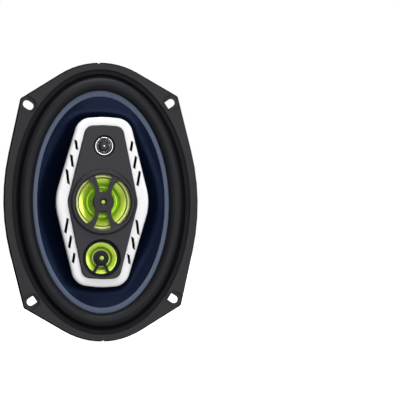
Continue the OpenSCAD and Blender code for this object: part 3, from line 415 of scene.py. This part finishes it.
weave, given, result = texture_group("weave", {"Thread": 0.0006}, ["Height", "Gap"])
here = add_node(weave, "ShaderNodeSeparateXYZ",
                {0: add_node(weave, "ShaderNodeTexCoord").outputs["Object"]})
gap_full, gap_from = 0.2, 0.6
turns = add_node(weave, "ShaderNodeMath", {0: math.pi, 1: given["Thread"]}, operation="DIVIDE")
threads = []
for axis in ("X", "Z"):
    phase = add_node(weave, "ShaderNodeMath", {0: here.outputs[axis], 1: turns.outputs[0]},
                     operation="MULTIPLY")
    wave = add_node(weave, "ShaderNodeMath", {0: phase.outputs[0]}, operation="SINE")
    threads.append(add_node(weave, "ShaderNodeMath", {0: wave.outputs[0]}, operation="ABSOLUTE"))
over = add_node(weave, "ShaderNodeMath", {0: threads[0].outputs[0], 1: threads[1].outputs[0]},
                operation="MAXIMUM")
hole = add_node(weave, "ShaderNodeMapRange",
                {0: over.outputs[0], 1: gap_full, 2: gap_from, 3: 1, 4: 0})
weave.links.new(over.outputs[0], result.inputs["Height"])
weave.links.new(hole.outputs[0], result.inputs["Gap"])


def cloth(name, colour, gap_colour, thread, depth):
    """Woven cloth: two sets of threads with dark gaps, and resin or dye clouds."""
    made = finish(name, colour, 0.85, cloud_size=0.02, shade=0.15, specular=0.2)
    tree = made.node_tree
    shader = tree.nodes["Principled BSDF"]
    threads = add_node(tree, "ShaderNodeGroup", node_tree=weave)
    threads.inputs["Thread"].default_value = thread
    plain = shader.inputs["Base Color"].links[0].from_socket
    tint = add_node(tree, "ShaderNodeMix", {0: threads.outputs["Gap"], 6: plain,
                                            7: (*gap_colour, 1)}, data_type="RGBA")
    bump = add_node(tree, "ShaderNodeBump", {"Height": threads.outputs["Height"],
                                             "Distance": depth})
    feed(shader, Base_Color=tint.outputs[2], Normal=bump.outputs[0])
    return made


spider_cloth = cloth("spider_cloth", (0.55, 0.36, 0.11), (0.16, 0.09, 0.025), 0.0007, 0.0002)
spider_in, spider_flat_in = 13.1, 15.1
spider_flat_out, spider_out = 48.5, 52.0
spider_level, spider_thick, spider_wave, spider_waves, wave_steps = -34.0, 0.6, 1.3, 5, 16
spider_steps = spider_waves * wave_steps
face = [(spider_in, spider_level)]
for i in range(spider_steps + 1):
    across = spider_flat_in + (spider_flat_out - spider_flat_in) * i / spider_steps
    dip = 1 - math.cos(2 * math.pi * i / wave_steps)
    face.append((across, spider_level + spider_wave * dip))
face.append((spider_out, spider_level))
rings = round_rings(face) + round_rings(reversed(face), lower=-spider_thick)
spider = stands_for(lofted("spider_disc", rings, around=144), "spider", "spider_cloth", None,
                    spider_cloth)
bends(spider,
      lambda x, z: (spider_flat_out - math.hypot(x, z)) / (spider_flat_out - spider_flat_in))


# Motor: a ferrite ring between a zinc-plated front plate and yoke. The plates are turned, the
# ferrite is ground on its faces, and four rivets clinch the front plate to the basket. The post
# that carries the pod goes through the yoke's pole, and a nut holds it.
turned, given, result = texture_group("turned", {"Pitch": 0.0004}, ["Height"])
here = add_node(turned, "ShaderNodeSeparateXYZ",
                {0: add_node(turned, "ShaderNodeTexCoord").outputs["Object"]})
flat = add_node(turned, "ShaderNodeCombineXYZ",
                {0: here.outputs["X"], 1: here.outputs["Z"], 2: 0.0})
radius = add_node(turned, "ShaderNodeVectorMath", {0: flat.outputs[0]}, operation="LENGTH")
steps = add_node(turned, "ShaderNodeMath", {0: radius.outputs["Value"], 1: given["Pitch"]},
                 operation="DIVIDE")
noise = add_node(turned, "ShaderNodeTexNoise", {"W": steps.outputs[0], "Scale": 1.0, "Detail": 2},
                 noise_dimensions="1D")
turned.links.new(noise.outputs[0], result.inputs["Height"])


def bare_metal(name, colour, roughness, pitch=0.0004, depth=0.000006, **more):
    """Metal with the fine rings that turning, spinning or polishing leaves."""
    made = finish(name, colour, roughness, metal=1.0, **more)
    tree = made.node_tree
    shader = tree.nodes["Principled BSDF"]
    marks = add_node(tree, "ShaderNodeGroup", node_tree=turned)
    marks.inputs["Pitch"].default_value = pitch
    bump = add_node(tree, "ShaderNodeBump", {"Height": marks.outputs["Height"],
                                             "Distance": depth})
    feed(shader, Normal=bump.outputs[0])
    return made


zinc = bare_metal("zinc_plate", (0.56, 0.57, 0.60), 0.32, depth=0.00001, cloud_size=0.03,
                  shade=0.05, uneven=0.05)
ferrite = finish("ferrite", (0.035, 0.035, 0.037), 0.62, grain_size=0.0009, grain_depth=0.00006,
                 cloud_size=0.008, wear=0.8, worn_colour=(0.11, 0.11, 0.115), wear_width=0.0012)
rivet_steel = bare_metal("rivet_steel", (0.42, 0.42, 0.43), 0.4, pitch=0.0003)
dress(zinc, "front_plate", "yoke", "tweeter_post", "post_nut")
dress(ferrite, "magnet")
dress(rivet_steel, "plate_rivets")


# Voice coil: lacquered copper wire wound on a film former, dipped in clear varnish. The cone's
# neck and the spider are glued to the former, and the winding hangs in the motor's gap. The
# midrange's coil is wound in the same way.
film = finish("former_film", (0.36, 0.20, 0.06), 0.35, cloud_size=0.01)
copper = bare_metal("copper_wire", (0.72, 0.34, 0.17), 0.3, pitch=0.0002)
tree = copper.node_tree
wires_per_m, wire_relief = 520.0, 0.00012
wires = add_node(tree, "ShaderNodeTexWave",
                 {"Vector": add_node(tree, "ShaderNodeTexCoord").outputs["Object"],
                  "Scale": wires_per_m, "Distortion": 0.3}, bands_direction="Y")
bump = add_node(tree, "ShaderNodeBump", {"Height": wires.outputs[1], "Distance": wire_relief})
feed(tree.nodes["Principled BSDF"], Normal=bump.outputs[0])
dress(film, "coil_former")
dress(copper, "coil_winding", "mid_coil")


# Terminals: a pressed-fibre board riveted to the basket's lug, with a wide positive and a
# narrow negative brass tab. Two tinsel leads run from the tabs through a window to the cone.
fibre = finish("fibre_board", (0.115, 0.045, 0.018), 0.6, grain_size=0.0005,
               grain_depth=0.00004, cloud_size=0.004, shade=0.25)
brass = bare_metal("brass_tab", (0.78, 0.57, 0.24), 0.28, cloud_size=0.006, shade=0.08)
dress(fibre, "terminal_board")
dress(brass, "terminal_positive", "terminal_negative")
dress(rivet_steel, "terminal_rivets")
tinsel = bare_metal("tinsel_braid", (0.70, 0.42, 0.20), 0.35)
solder = bare_metal("solder", (0.62, 0.62, 0.63), 0.3, cloud_size=0.002, shade=0.15)
lead_glue = finish("lead_glue", (0.012, 0.011, 0.010), 0.35, cloud_size=0.003)
# one lead's middle line in mm: along, sideways and level, from the tab to the cone
lead_line = [(68.5, 0, -33.7), (66.6, -0.3, -31.0), (63.6, -0.8, -28.0), (59.4, -1.2, -25.8),
             (55.0, -1.4, -24.6), (50.6, -1.4, -24.4), (46.4, -1.2, -24.6), (42.6, -0.8, -23.8),
             (39.4, -0.4, -20.8), (37.2, 0, -16.8), (35.0, 0.2, -13.9), (35.0, 0.2, -9.9)]
strands, strand_r, strand_pitch, lead_side = 3, 0.4, 5.0, 9.0
twist_r = strand_r * 1.05
lead_bends_from, lead_bends_to = 64, 36


def between(line, part):
    """A point on the smooth curve through a line's points, with part from 0 to 1."""
    place = min(len(line) - 2, int(part * (len(line) - 1)))
    t = part * (len(line) - 1) - place
    a, b, c, d = (line[min(len(line) - 1, max(0, place + k))] for k in (-1, 0, 1, 2))
    return [0.5 * (2 * q + (r - p) * t + (2 * p - 5 * q + 4 * r - s) * t * t
                   + (3 * q - p - 3 * r + s) * t ** 3) for p, q, r, s in zip(a, b, c, d)]


braid = bpy.data.curves.new("tinsel_braids", "CURVE")
braid.dimensions = "3D"
braid.bevel_depth = strand_r / 1000
braid.bevel_resolution = 3
samples = 180
for side in (-1, 1):
    line = [between(lead_line, i / samples) for i in range(samples + 1)]
    for strand in range(strands):
        spline = braid.splines.new("POLY")
        spline.points.add(samples)
        gone = 0.0
        for i, (x, y, z) in enumerate(line):
            gone += math.dist(line[i], line[max(0, i - 1)])
            after, before = line[min(samples, i + 1)], line[max(0, i - 1)]
            run, rise = after[0] - before[0], after[2] - before[2]
            span = math.hypot(run, rise)
            turn = 2 * math.pi * (gone / strand_pitch + strand / strands)
            out = twist_r * math.cos(turn)
            over = twist_r * math.sin(turn)
            x, z, y = x - out * rise / span, z + out * run / span, side * (lead_side + y + over)
            spline.points[i].co = (x / 1000, -z / 1000, y / 1000, 1)
bpy.ops.object.select_all(action="DESELECT")
leads = bpy.data.objects.new("tinsel_braids", braid)
bpy.context.scene.collection.objects.link(leads)
bpy.context.view_layer.objects.active = leads
leads.select_set(True)
bpy.ops.object.convert(target="MESH")
bpy.ops.object.shade_smooth()
leads = bpy.context.object
# a drop of solder on each blade, and one of glue on the cone: finish, middle and size in mm
solder_drop = (1, (68.3, 0, -33.6), (1.5, 0.9, 1.9))
glue_drop = (2, (35.0, 0.2, -10.5), (2.4, 0.9, 2.4))
drops = []
for side in (-1, 1):
    for material_slot, (x, y, z), size in (solder_drop, glue_drop):
        bpy.ops.mesh.primitive_uv_sphere_add(segments=24, ring_count=14, radius=0.001,
                                             location=(x / 1000, -z / 1000,
                                                       side * (lead_side + y) / 1000))
        drop = bpy.context.object
        drop.scale = size
        bpy.ops.object.shade_smooth()
        for material in (tinsel, solder, lead_glue):
            drop.data.materials.append(material)
        for face in drop.data.polygons:
            face.material_index = material_slot
        drops.append(drop)
leads.data.materials.clear()
for material in (tinsel, solder, lead_glue):
    leads.data.materials.append(material)
bpy.ops.object.select_all(action="DESELECT")
for part in drops + [leads]:
    part.select_set(True)
bpy.context.view_layer.objects.active = leads
bpy.ops.object.join()
bpy.ops.object.transform_apply(location=True, rotation=True, scale=True)
leads = stands_for(leads, "tinsel_leads", "tinsel_braid", None, tinsel, solder, lead_glue)
bends(leads,
      lambda x, z: (lead_bends_from - x) / (lead_bends_from - lead_bends_to))


# Cone: injected polypropylene with blue mica, glossy in front, with a flat matt rim that the
# surround is glued to. It is round at the neck, where it is glued to the former, and a pressed
# felt ring in it keeps dust out of the motor.
navy_gloss = finish("navy_gloss", (0.010, 0.020, 0.060), 0.2, grain_size=0.0004,
                    grain_depth=0.000002, cloud_size=0.06, shade=0.05, metal=0.78, coat=0.08)
navy_rim = finish("navy_rim", (0.090, 0.117, 0.180), 0.55, grain_size=0.0005,
                  grain_depth=0.00001, cloud_size=0.02, shade=0.05, specular=0.25)
cone_half_w, cone_half_h, rim_wide = 57.6, 93.7, 2.4
flare_w, flare_h = cone_half_w - rim_wide, cone_half_h - rim_wide
neck_r, neck_level, cone_depth, cone_thick = 13.1, -24.2, 27.0, 0.8
round_until, oval_growth, flare_curve, cone_steps = 21, 1.1, 0.9, 40
rim_front, rim_corner, rim_back, rim_from = 2.8, 2.5, 2.0, 2.45
round_part = (round_until - neck_r) / (flare_w - neck_r)


def cone_ring(share, back=0.0):
    """The cone's section at a share of the way from its neck to its flare."""
    half = neck_r + (flare_w - neck_r) * share
    oval = max(0, share - round_part) / (1 - round_part)
    return (half + back / 2, half + (flare_h - flare_w) * oval ** oval_growth + back / 2,
            neck_level + cone_depth * share ** flare_curve - back)


shares = [i / cone_steps for i in range(cone_steps + 1)]
cone_front = [cone_ring(s) for s in shares]
cone_rim = [(flare_w + 0.15, flare_h + 0.15, rim_front - 0.02),
            (flare_w + 0.5, flare_h + 0.5, rim_front),
            (cone_half_w - 0.4, cone_half_h - 0.4, rim_front),
            (cone_half_w, cone_half_h, rim_corner), (cone_half_w, cone_half_h, rim_back)]
cone_back = [cone_ring(s, cone_thick) for s in reversed(shares)]
cone = stands_for(lofted("cone_moulding", cone_front + cone_rim + cone_back, around=256),
                  "woofer_cone", "navy_cone", "woofer", navy_gloss, navy_rim)
second_finish(cone, lambda face: face.center.y < -rim_from / 1000)
felt = finish("dust_felt", (0.006, 0.008, 0.012), 0.9, grain_size=0.0004, grain_depth=0.0001,
              specular=0.2)
dress(felt, "dust_ring")


# Surround: a half roll of butyl rubber between two flat lips. The inner lip is glued under the
# cone's rim and the outer one is held between the flange and the gasket ring.
rubber = finish("butyl_rubber", (0.009, 0.0095, 0.013), 0.5, grain_size=0.0012,
                grain_depth=0.000012, cloud_size=0.04, shade=0.1, specular=0.22)
foot_w, foot_h = cone_half_w + 0.5, cone_half_h + 0.5
roll_wide, roll_high, rubber_thick, flange_front = 11.4, 5.2, 0.8, 1.2
lip_in, lip_out, roll_steps, shaded_foot = 2.7, 15.7, 24, 0.9


def roll_ring(across, up):
    """A ring of the surround at a distance outside the roll's inner foot."""
    return (foot_w + across, foot_h + across, flange_front + up)


roll = [math.pi * i / roll_steps for i in range(roll_steps + 1)]
half = roll_wide / 2
rings = [roll_ring(-lip_in, 0), roll_ring(-lip_in, rubber_thick - 0.05),
         roll_ring(-0.25, rubber_thick - 0.02)]
rings += [roll_ring(half - half * math.cos(a), rubber_thick + roll_high * math.sin(a))
          for a in roll]
rings += [roll_ring(roll_wide + 0.25, rubber_thick - 0.02),
          roll_ring(lip_out, rubber_thick), roll_ring(lip_out, 0)]
rings += [roll_ring(half + (half - rubber_thick) * math.cos(a), roll_high * math.sin(a))
          for a in roll]
# painted shade: a near-black rubber for the lip and foot in the gasket's groove
lip_painted_shade = finish("lip_painted_shade", (0.003, 0.003, 0.004), 0.7, grain_size=0.0012,
                    grain_depth=0.000012, specular=0.06)
surround = stands_for(lofted("surround_roll", rings, around=256), "surround", "rubber", None,
                      rubber, lip_painted_shade)


def outside_foot(x, z):
    """How far a point lies outside the roll's inner foot, found by halving."""
    least, most = -10.0, 25.0
    for _ in range(30):
        middle = (least + most) / 2
        if (x / (foot_w + middle)) ** 2 + (z / (foot_h + middle)) ** 2 > 1:
            least = middle
        else:
            most = middle
    return middle


# the outer lip and the roll's foot beside it, deep in the gasket's groove, are painted near black
# as shade
second_finish(surround, lambda face: outside_foot(face.center.x * 1000, face.center.z * 1000)
              > roll_wide - shaded_foot)
bends(surround,
      lambda x, z: 1 - outside_foot(x, z) / roll_wide)


# Driver pod: an ABS back moulding with the cups, and a satin front moulding screwed to it.
# A gloss white trim frame with six slots down each side is held between the two.
satin = finish("satin_plastic", (0.022, 0.022, 0.029), 0.45, grain_size=0.0003,
               grain_depth=0.000008, cloud_size=0.05, shade=0.05, specular=0.3)
black_abs = finish("black_abs", (0.014, 0.015, 0.019), 0.45, grain_size=0.0005,
                   grain_depth=0.00001, specular=0.35)
white_gloss = finish("white_gloss", (0.88, 0.88, 0.89), 0.22, grain_size=0.004,
                     grain_depth=0.000003, cloud_size=0.05, shade=0.01)
pod_cup = moulding("pod_back", "pod_cup", "frame", black_abs, edge=0.0002)
# the floor behind the trim's slots is painted dull black, as shade
pod_cup.data.materials.append(painted_shade_black)
second_finish(pod_cup, faces_front)
pod_face = moulding("pod_front", "pod_face", "frame", satin, edge=0.0002)
# painted shade: a near-black plastic for the recesses round the tweeters, the midrange tip's foot
# and the bowl's outer ring; the tweeter's bridge is moulded in it too
dark_plastic_and_painted_shade = finish("dark_plastic_and_painted_shade", (0.007, 0.007, 0.009), 0.5, grain_size=0.0003,
                        grain_depth=0.000008, cloud_size=0.05, shade=0.05, specular=0.2)
pod_face.data.materials.append(dark_plastic_and_painted_shade)
# where the tweeters' middles lie, how wide their recesses are, and where the recesses start
tweeter_at, tweeter_mouth = (-1.81, -47.07), 16.1
super_at, super_mouth = (1.81, 47.07), 9.2
recess_level = 15.85


def from_axis(face, centre=(0, 0)):
    """How far in mm a face lies from the axis of a driver with its middle at centre."""
    return math.hypot(face.center.x * 1000 - centre[0], face.center.z * 1000 - centre[1])


# the recesses round both tweeters are painted near black, as shade
second_finish(pod_face, lambda face: (from_axis(face, tweeter_at) < tweeter_mouth
                                      or from_axis(face, super_at) < super_mouth)
              and -face.center.y * 1000 < recess_level)
moulding("trim_plate", "trim_frame", "frame", white_gloss, edge=0.0002)
dress(rivet_steel, "pod_screws")


# Midrange: a moulded grille with four curved ribs and a capped hub over a green cone, which is
# pressed from metallised film. Its edge, coil, frame and magnet sit in the pod's cup.
hub_plastic = finish("hub_plastic", (0.009, 0.009, 0.013), 0.4, grain_size=0.0004,
                     grain_depth=0.00001, cloud_size=0.02, shade=0.06, specular=0.35)
green_film = finish("green_film", (0.72, 1.0, 0.09), 0.26, grain_size=0.0006,
                    grain_depth=0.000003, cloud_size=0.01, shade=0.02, uneven=0.03, metal=0.55,
                    coat=0.2)
# painted shade: a darker green for the film's deep middles, inside the cones' steep walls and the
# cap's bead
green_painted_shade = finish("green_painted_shade", (0.30, 0.53, 0.03), 0.24, grain_size=0.0006,
                    grain_depth=0.000003, cloud_size=0.01, shade=0.03, uneven=0.03, metal=0.55)
# partly painted highlight: the edge's green is paler than the film's, both for the edge's own
# tone and for the bright line of its highlight
green_edge = finish("green_edge", (0.90, 1.0, 0.34), 0.25, grain_size=0.0006,
                    grain_depth=0.000006, cloud_size=0.01, shade=0.04)
# painted shade: a dark green for the step at the midrange edge's inner foot
edge_groove_painted_shade = finish("edge_groove_painted_shade", (0.045, 0.085, 0.008), 0.4, cloud_size=0.004)
green_gloss = finish("green_gloss", (0.46, 0.66, 0.07), 0.18, shade=0.04)
moulding("mid_grille", "mid_grille_moulding", "frame", hub_plastic,
         edge=0.0002)


# the caps' radius in mm, outside of which a tip shows its foot
tip_r = 1.86


def turned_tip(name, node, rings, centre, foot):
    """A small green cap in its hole, with the foot's finish outside the cap."""
    tip = stands_for(lofted(name, round_rings(rings), around=48, centre=centre), node,
                     "green_gloss", "frame", foot, green_gloss)
    second_finish(tip, lambda face: from_axis(face, centre) < tip_r and face.normal.y < 0)


mid_tip_rings = [(2.4, 14.4), (2.4, 16.2), (2.25, 16.35), (1.85, 16.35), (1.8, 16.6),
                 (1.68, 16.95), (1.4, 17.25), (1.0, 17.45), (0.5, 17.56), (0.001, 17.6),
                 (0.001, 14.4)]
# the midrange tip's foot is painted near black, as shade in its hole
turned_tip("mid_tip_cap", "mid_tip", mid_tip_rings, (0, 0), dark_plastic_and_painted_shade)
# the cone's front in mm: a flat outer band, a steep wall, and the floor down to its neck
mid_front = [(21.4, 11.0), (20.1, 10.95), (19.7, 10.85), (15.9, 9.75), (15.5, 9.5), (15.15, 9.0),
             (13.9, 6.6), (13.5, 6.15), (12.9, 5.85), (6.3, 4.0)]
mid_film, mid_wall = 0.4, 15.3
rings = round_rings(mid_front)
rings += round_rings(reversed(mid_front[1:]), wider=0.15, lower=mid_film)
rings += round_rings(mid_front[:1], lower=mid_film)
mid_cone = stands_for(lofted("mid_cone_film", rings, around=144), "mid_cone", "green_cone",
                      "midrange", green_film, green_painted_shade)
# inside the steep wall the film is painted darker, as shade deep in the cone
second_finish(mid_cone, lambda face: from_axis(face) < mid_wall)
# the dust cap: a bead round its foot, then a low dome
cap_front = [(13.1, 5.95), (13.0, 6.5), (12.75, 6.85), (12.4, 6.95), (12.05, 6.8), (11.8, 6.45),
             (11.3, 6.4), (10.2, 7.15), (8.6, 7.95), (6.6, 8.6), (4.4, 9.05), (2.2, 9.3),
             (0.001, 9.37)]
cap_bead, dome_film = 11.6, 0.3
rings = round_rings(cap_front) + round_rings(reversed(cap_front), wider=-dome_film, lower=0.35)
mid_cap = stands_for(lofted("mid_cap_film", rings, around=144), "mid_cap", "green_cone",
                     "midrange", green_film, green_painted_shade)
# inside the bead the dome is painted darker, as shade
second_finish(mid_cap, lambda face: from_axis(face) < cap_bead)
dress(black_abs, "mid_frame")
dress(ferrite, "mid_magnet", "tweeter_magnet", "super_magnet")
dress(zinc, "mid_yoke")
# the edge: a thin half roll from the cone's outer band to a lip on the frame
edge_in, edge_out, edge_high, edge_thick, edge_back = 20.9, 23.0, 1.5, 0.4, 11.5
edge_r, edge_wide = (edge_in + edge_out) / 2, (edge_out - edge_in) / 2
edge_steps, edge_groove_shade_r, lip_r = 12, 20.85, 24.1
around_roll = [math.pi * i / edge_steps for i in range(edge_steps + 1)]
edge_profile = [(lip_r, edge_back), (lip_r, edge_back + edge_thick)]
edge_profile += [(edge_r + edge_wide * math.cos(a),
                  edge_back + edge_thick + edge_high * math.sin(a)) for a in around_roll]
edge_profile += [(20.1, edge_back + edge_thick), (19.9, 11.7), (19.9, edge_back)]
edge_profile += [(edge_r - (edge_wide - edge_thick) * math.cos(a),
                  edge_back + edge_high * math.sin(a)) for a in around_roll]
# the roll is painted paler than the cone, partly as its highlight
mid_edge = stands_for(lofted("mid_edge_roll", round_rings(edge_profile), around=144),
                      "mid_surround", "green_edge", None, green_edge, edge_groove_painted_shade)
# the step at the roll's inner foot is painted dark, as shade in the groove
second_finish(mid_edge, lambda face: from_axis(face) < edge_groove_shade_r)
bends(mid_edge,
      lambda x, z: (edge_out - math.hypot(x, z)) / (edge_out - edge_in))


# Crossover: one film capacitor for the midrange and one for the tweeters, each in a shrunk
# plastic sleeve. They keep the low notes out, and they are glued inside the pod.
sleeve = finish("capacitor_sleeve", (0.03, 0.08, 0.2), 0.3, shade=0.05)
dress(sleeve, "mid_capacitor", "tweeter_capacitor")


# Cone tweeter: a green cone round a small dome, under a bridge with a green tip. The cone is
# pressed from the midrange's film, and its frame and magnet are glued in the pod's lower cup.
moulding("tweeter_bridge", "tweeter_bridge_moulding", "frame", dark_plastic_and_painted_shade,
         edge=0.00012)
tweeter_tip_rings = [(1.9, 13.65), (1.9, 15.3), (1.84, 15.75), (1.66, 16.2), (1.35, 16.55),
                     (0.95, 16.8), (0.5, 16.92), (0.001, 16.95), (0.001, 13.65)]
turned_tip("tweeter_tip_cap", "tweeter_tip", tweeter_tip_rings, tweeter_at, green_gloss)
tweeter_front = [(12.9, 12.4), (12.6, 12.4), (12.2, 12.25), (9.9, 11.35), (9.5, 11.1),
                 (9.15, 10.7), (8.2, 9.5), (7.8, 9.25), (7.35, 9.2)]
tweeter_film, tweeter_wall = 0.4, 9.6
rings = round_rings(tweeter_front) + round_rings(reversed(tweeter_front), lower=tweeter_film)
tweeter_cone = stands_for(lofted("tweeter_cone_film", rings, around=128, centre=tweeter_at),
                          "tweeter_cone", "green_cone", "tweeter", green_film, green_painted_shade)
# inside its steep wall the tweeter's cone is painted darker, as shade
second_finish(tweeter_cone, lambda face: from_axis(face, tweeter_at) < tweeter_wall)
# the dome: dark film with a bright ring round its foot, painted as the bead's highlight
dark_film = finish("dark_film", (0.012, 0.013, 0.015), 0.3, specular=0.3)
dome_front = [(7.3, 9.4), (7.28, 9.75), (7.1, 9.95), (6.85, 9.9), (6.72, 9.6), (6.6, 9.35),
              (6.2, 9.3), (4.8, 9.9), (3.0, 10.4), (1.5, 10.7), (0.001, 10.8)]
ring_in, ring_from = 6.66, 9.4
rings = round_rings([(7.3, 5.9)] + dome_front)
rings += round_rings(reversed(dome_front[5:]), wider=-dome_film, lower=dome_film)
rings += round_rings([(7.0, 9.0), (7.0, 5.9)])
dome = stands_for(lofted("tweeter_dome_film", rings, around=96, centre=tweeter_at),
                  "tweeter_dome", "silver_film", "tweeter", dark_film, green_edge)
second_finish(dome, lambda face: from_axis(face, tweeter_at) > ring_in
              and -face.center.y > ring_from / 1000)
dress(rivet_steel, "tweeter_frame")


# Super tweeter: a plated plastic bowl round a film dome, under a small bridge with a bright
# tip. The bowl is pressed into the pod's upper well, with the magnet behind it.
chrome = finish("chrome", (0.82, 0.83, 0.85), 0.1, grain_size=0.002, grain_depth=0.000002,
                metal=1.0, shade=0.02, uneven=0.03)
moulding("super_bridge", "super_bridge_moulding", "frame", satin, edge=0.0001)
bowl_front = [(7.94, 14.3), (7.5, 14.3), (7.48, 14.5), (7.3, 14.68), (7.05, 14.68), (6.85, 14.5),
              (6.75, 14.1), (6.6, 13.7), (6.2, 12.9), (5.9, 12.6), (5.5, 12.5), (5.2, 12.3),
              (4.9, 11.3), (4.6, 11.0), (4.1, 10.9)]
bowl_back = [(4.1, 10.3), (5.3, 10.5), (7.94, 13.9)]
bowl_shade_r = 7.49
bowl = stands_for(lofted("super_bowl_shell", round_rings(bowl_front + bowl_back), around=96,
                         centre=super_at), "super_bowl", "chrome", "frame", chrome,
                  dark_plastic_and_painted_shade)
# the bowl's outermost ring is painted dark, as shade in the recess round it
second_finish(bowl, lambda face: from_axis(face, super_at) > bowl_shade_r)
dress(chrome, "super_tip")
dress(dark_film, "super_dome")
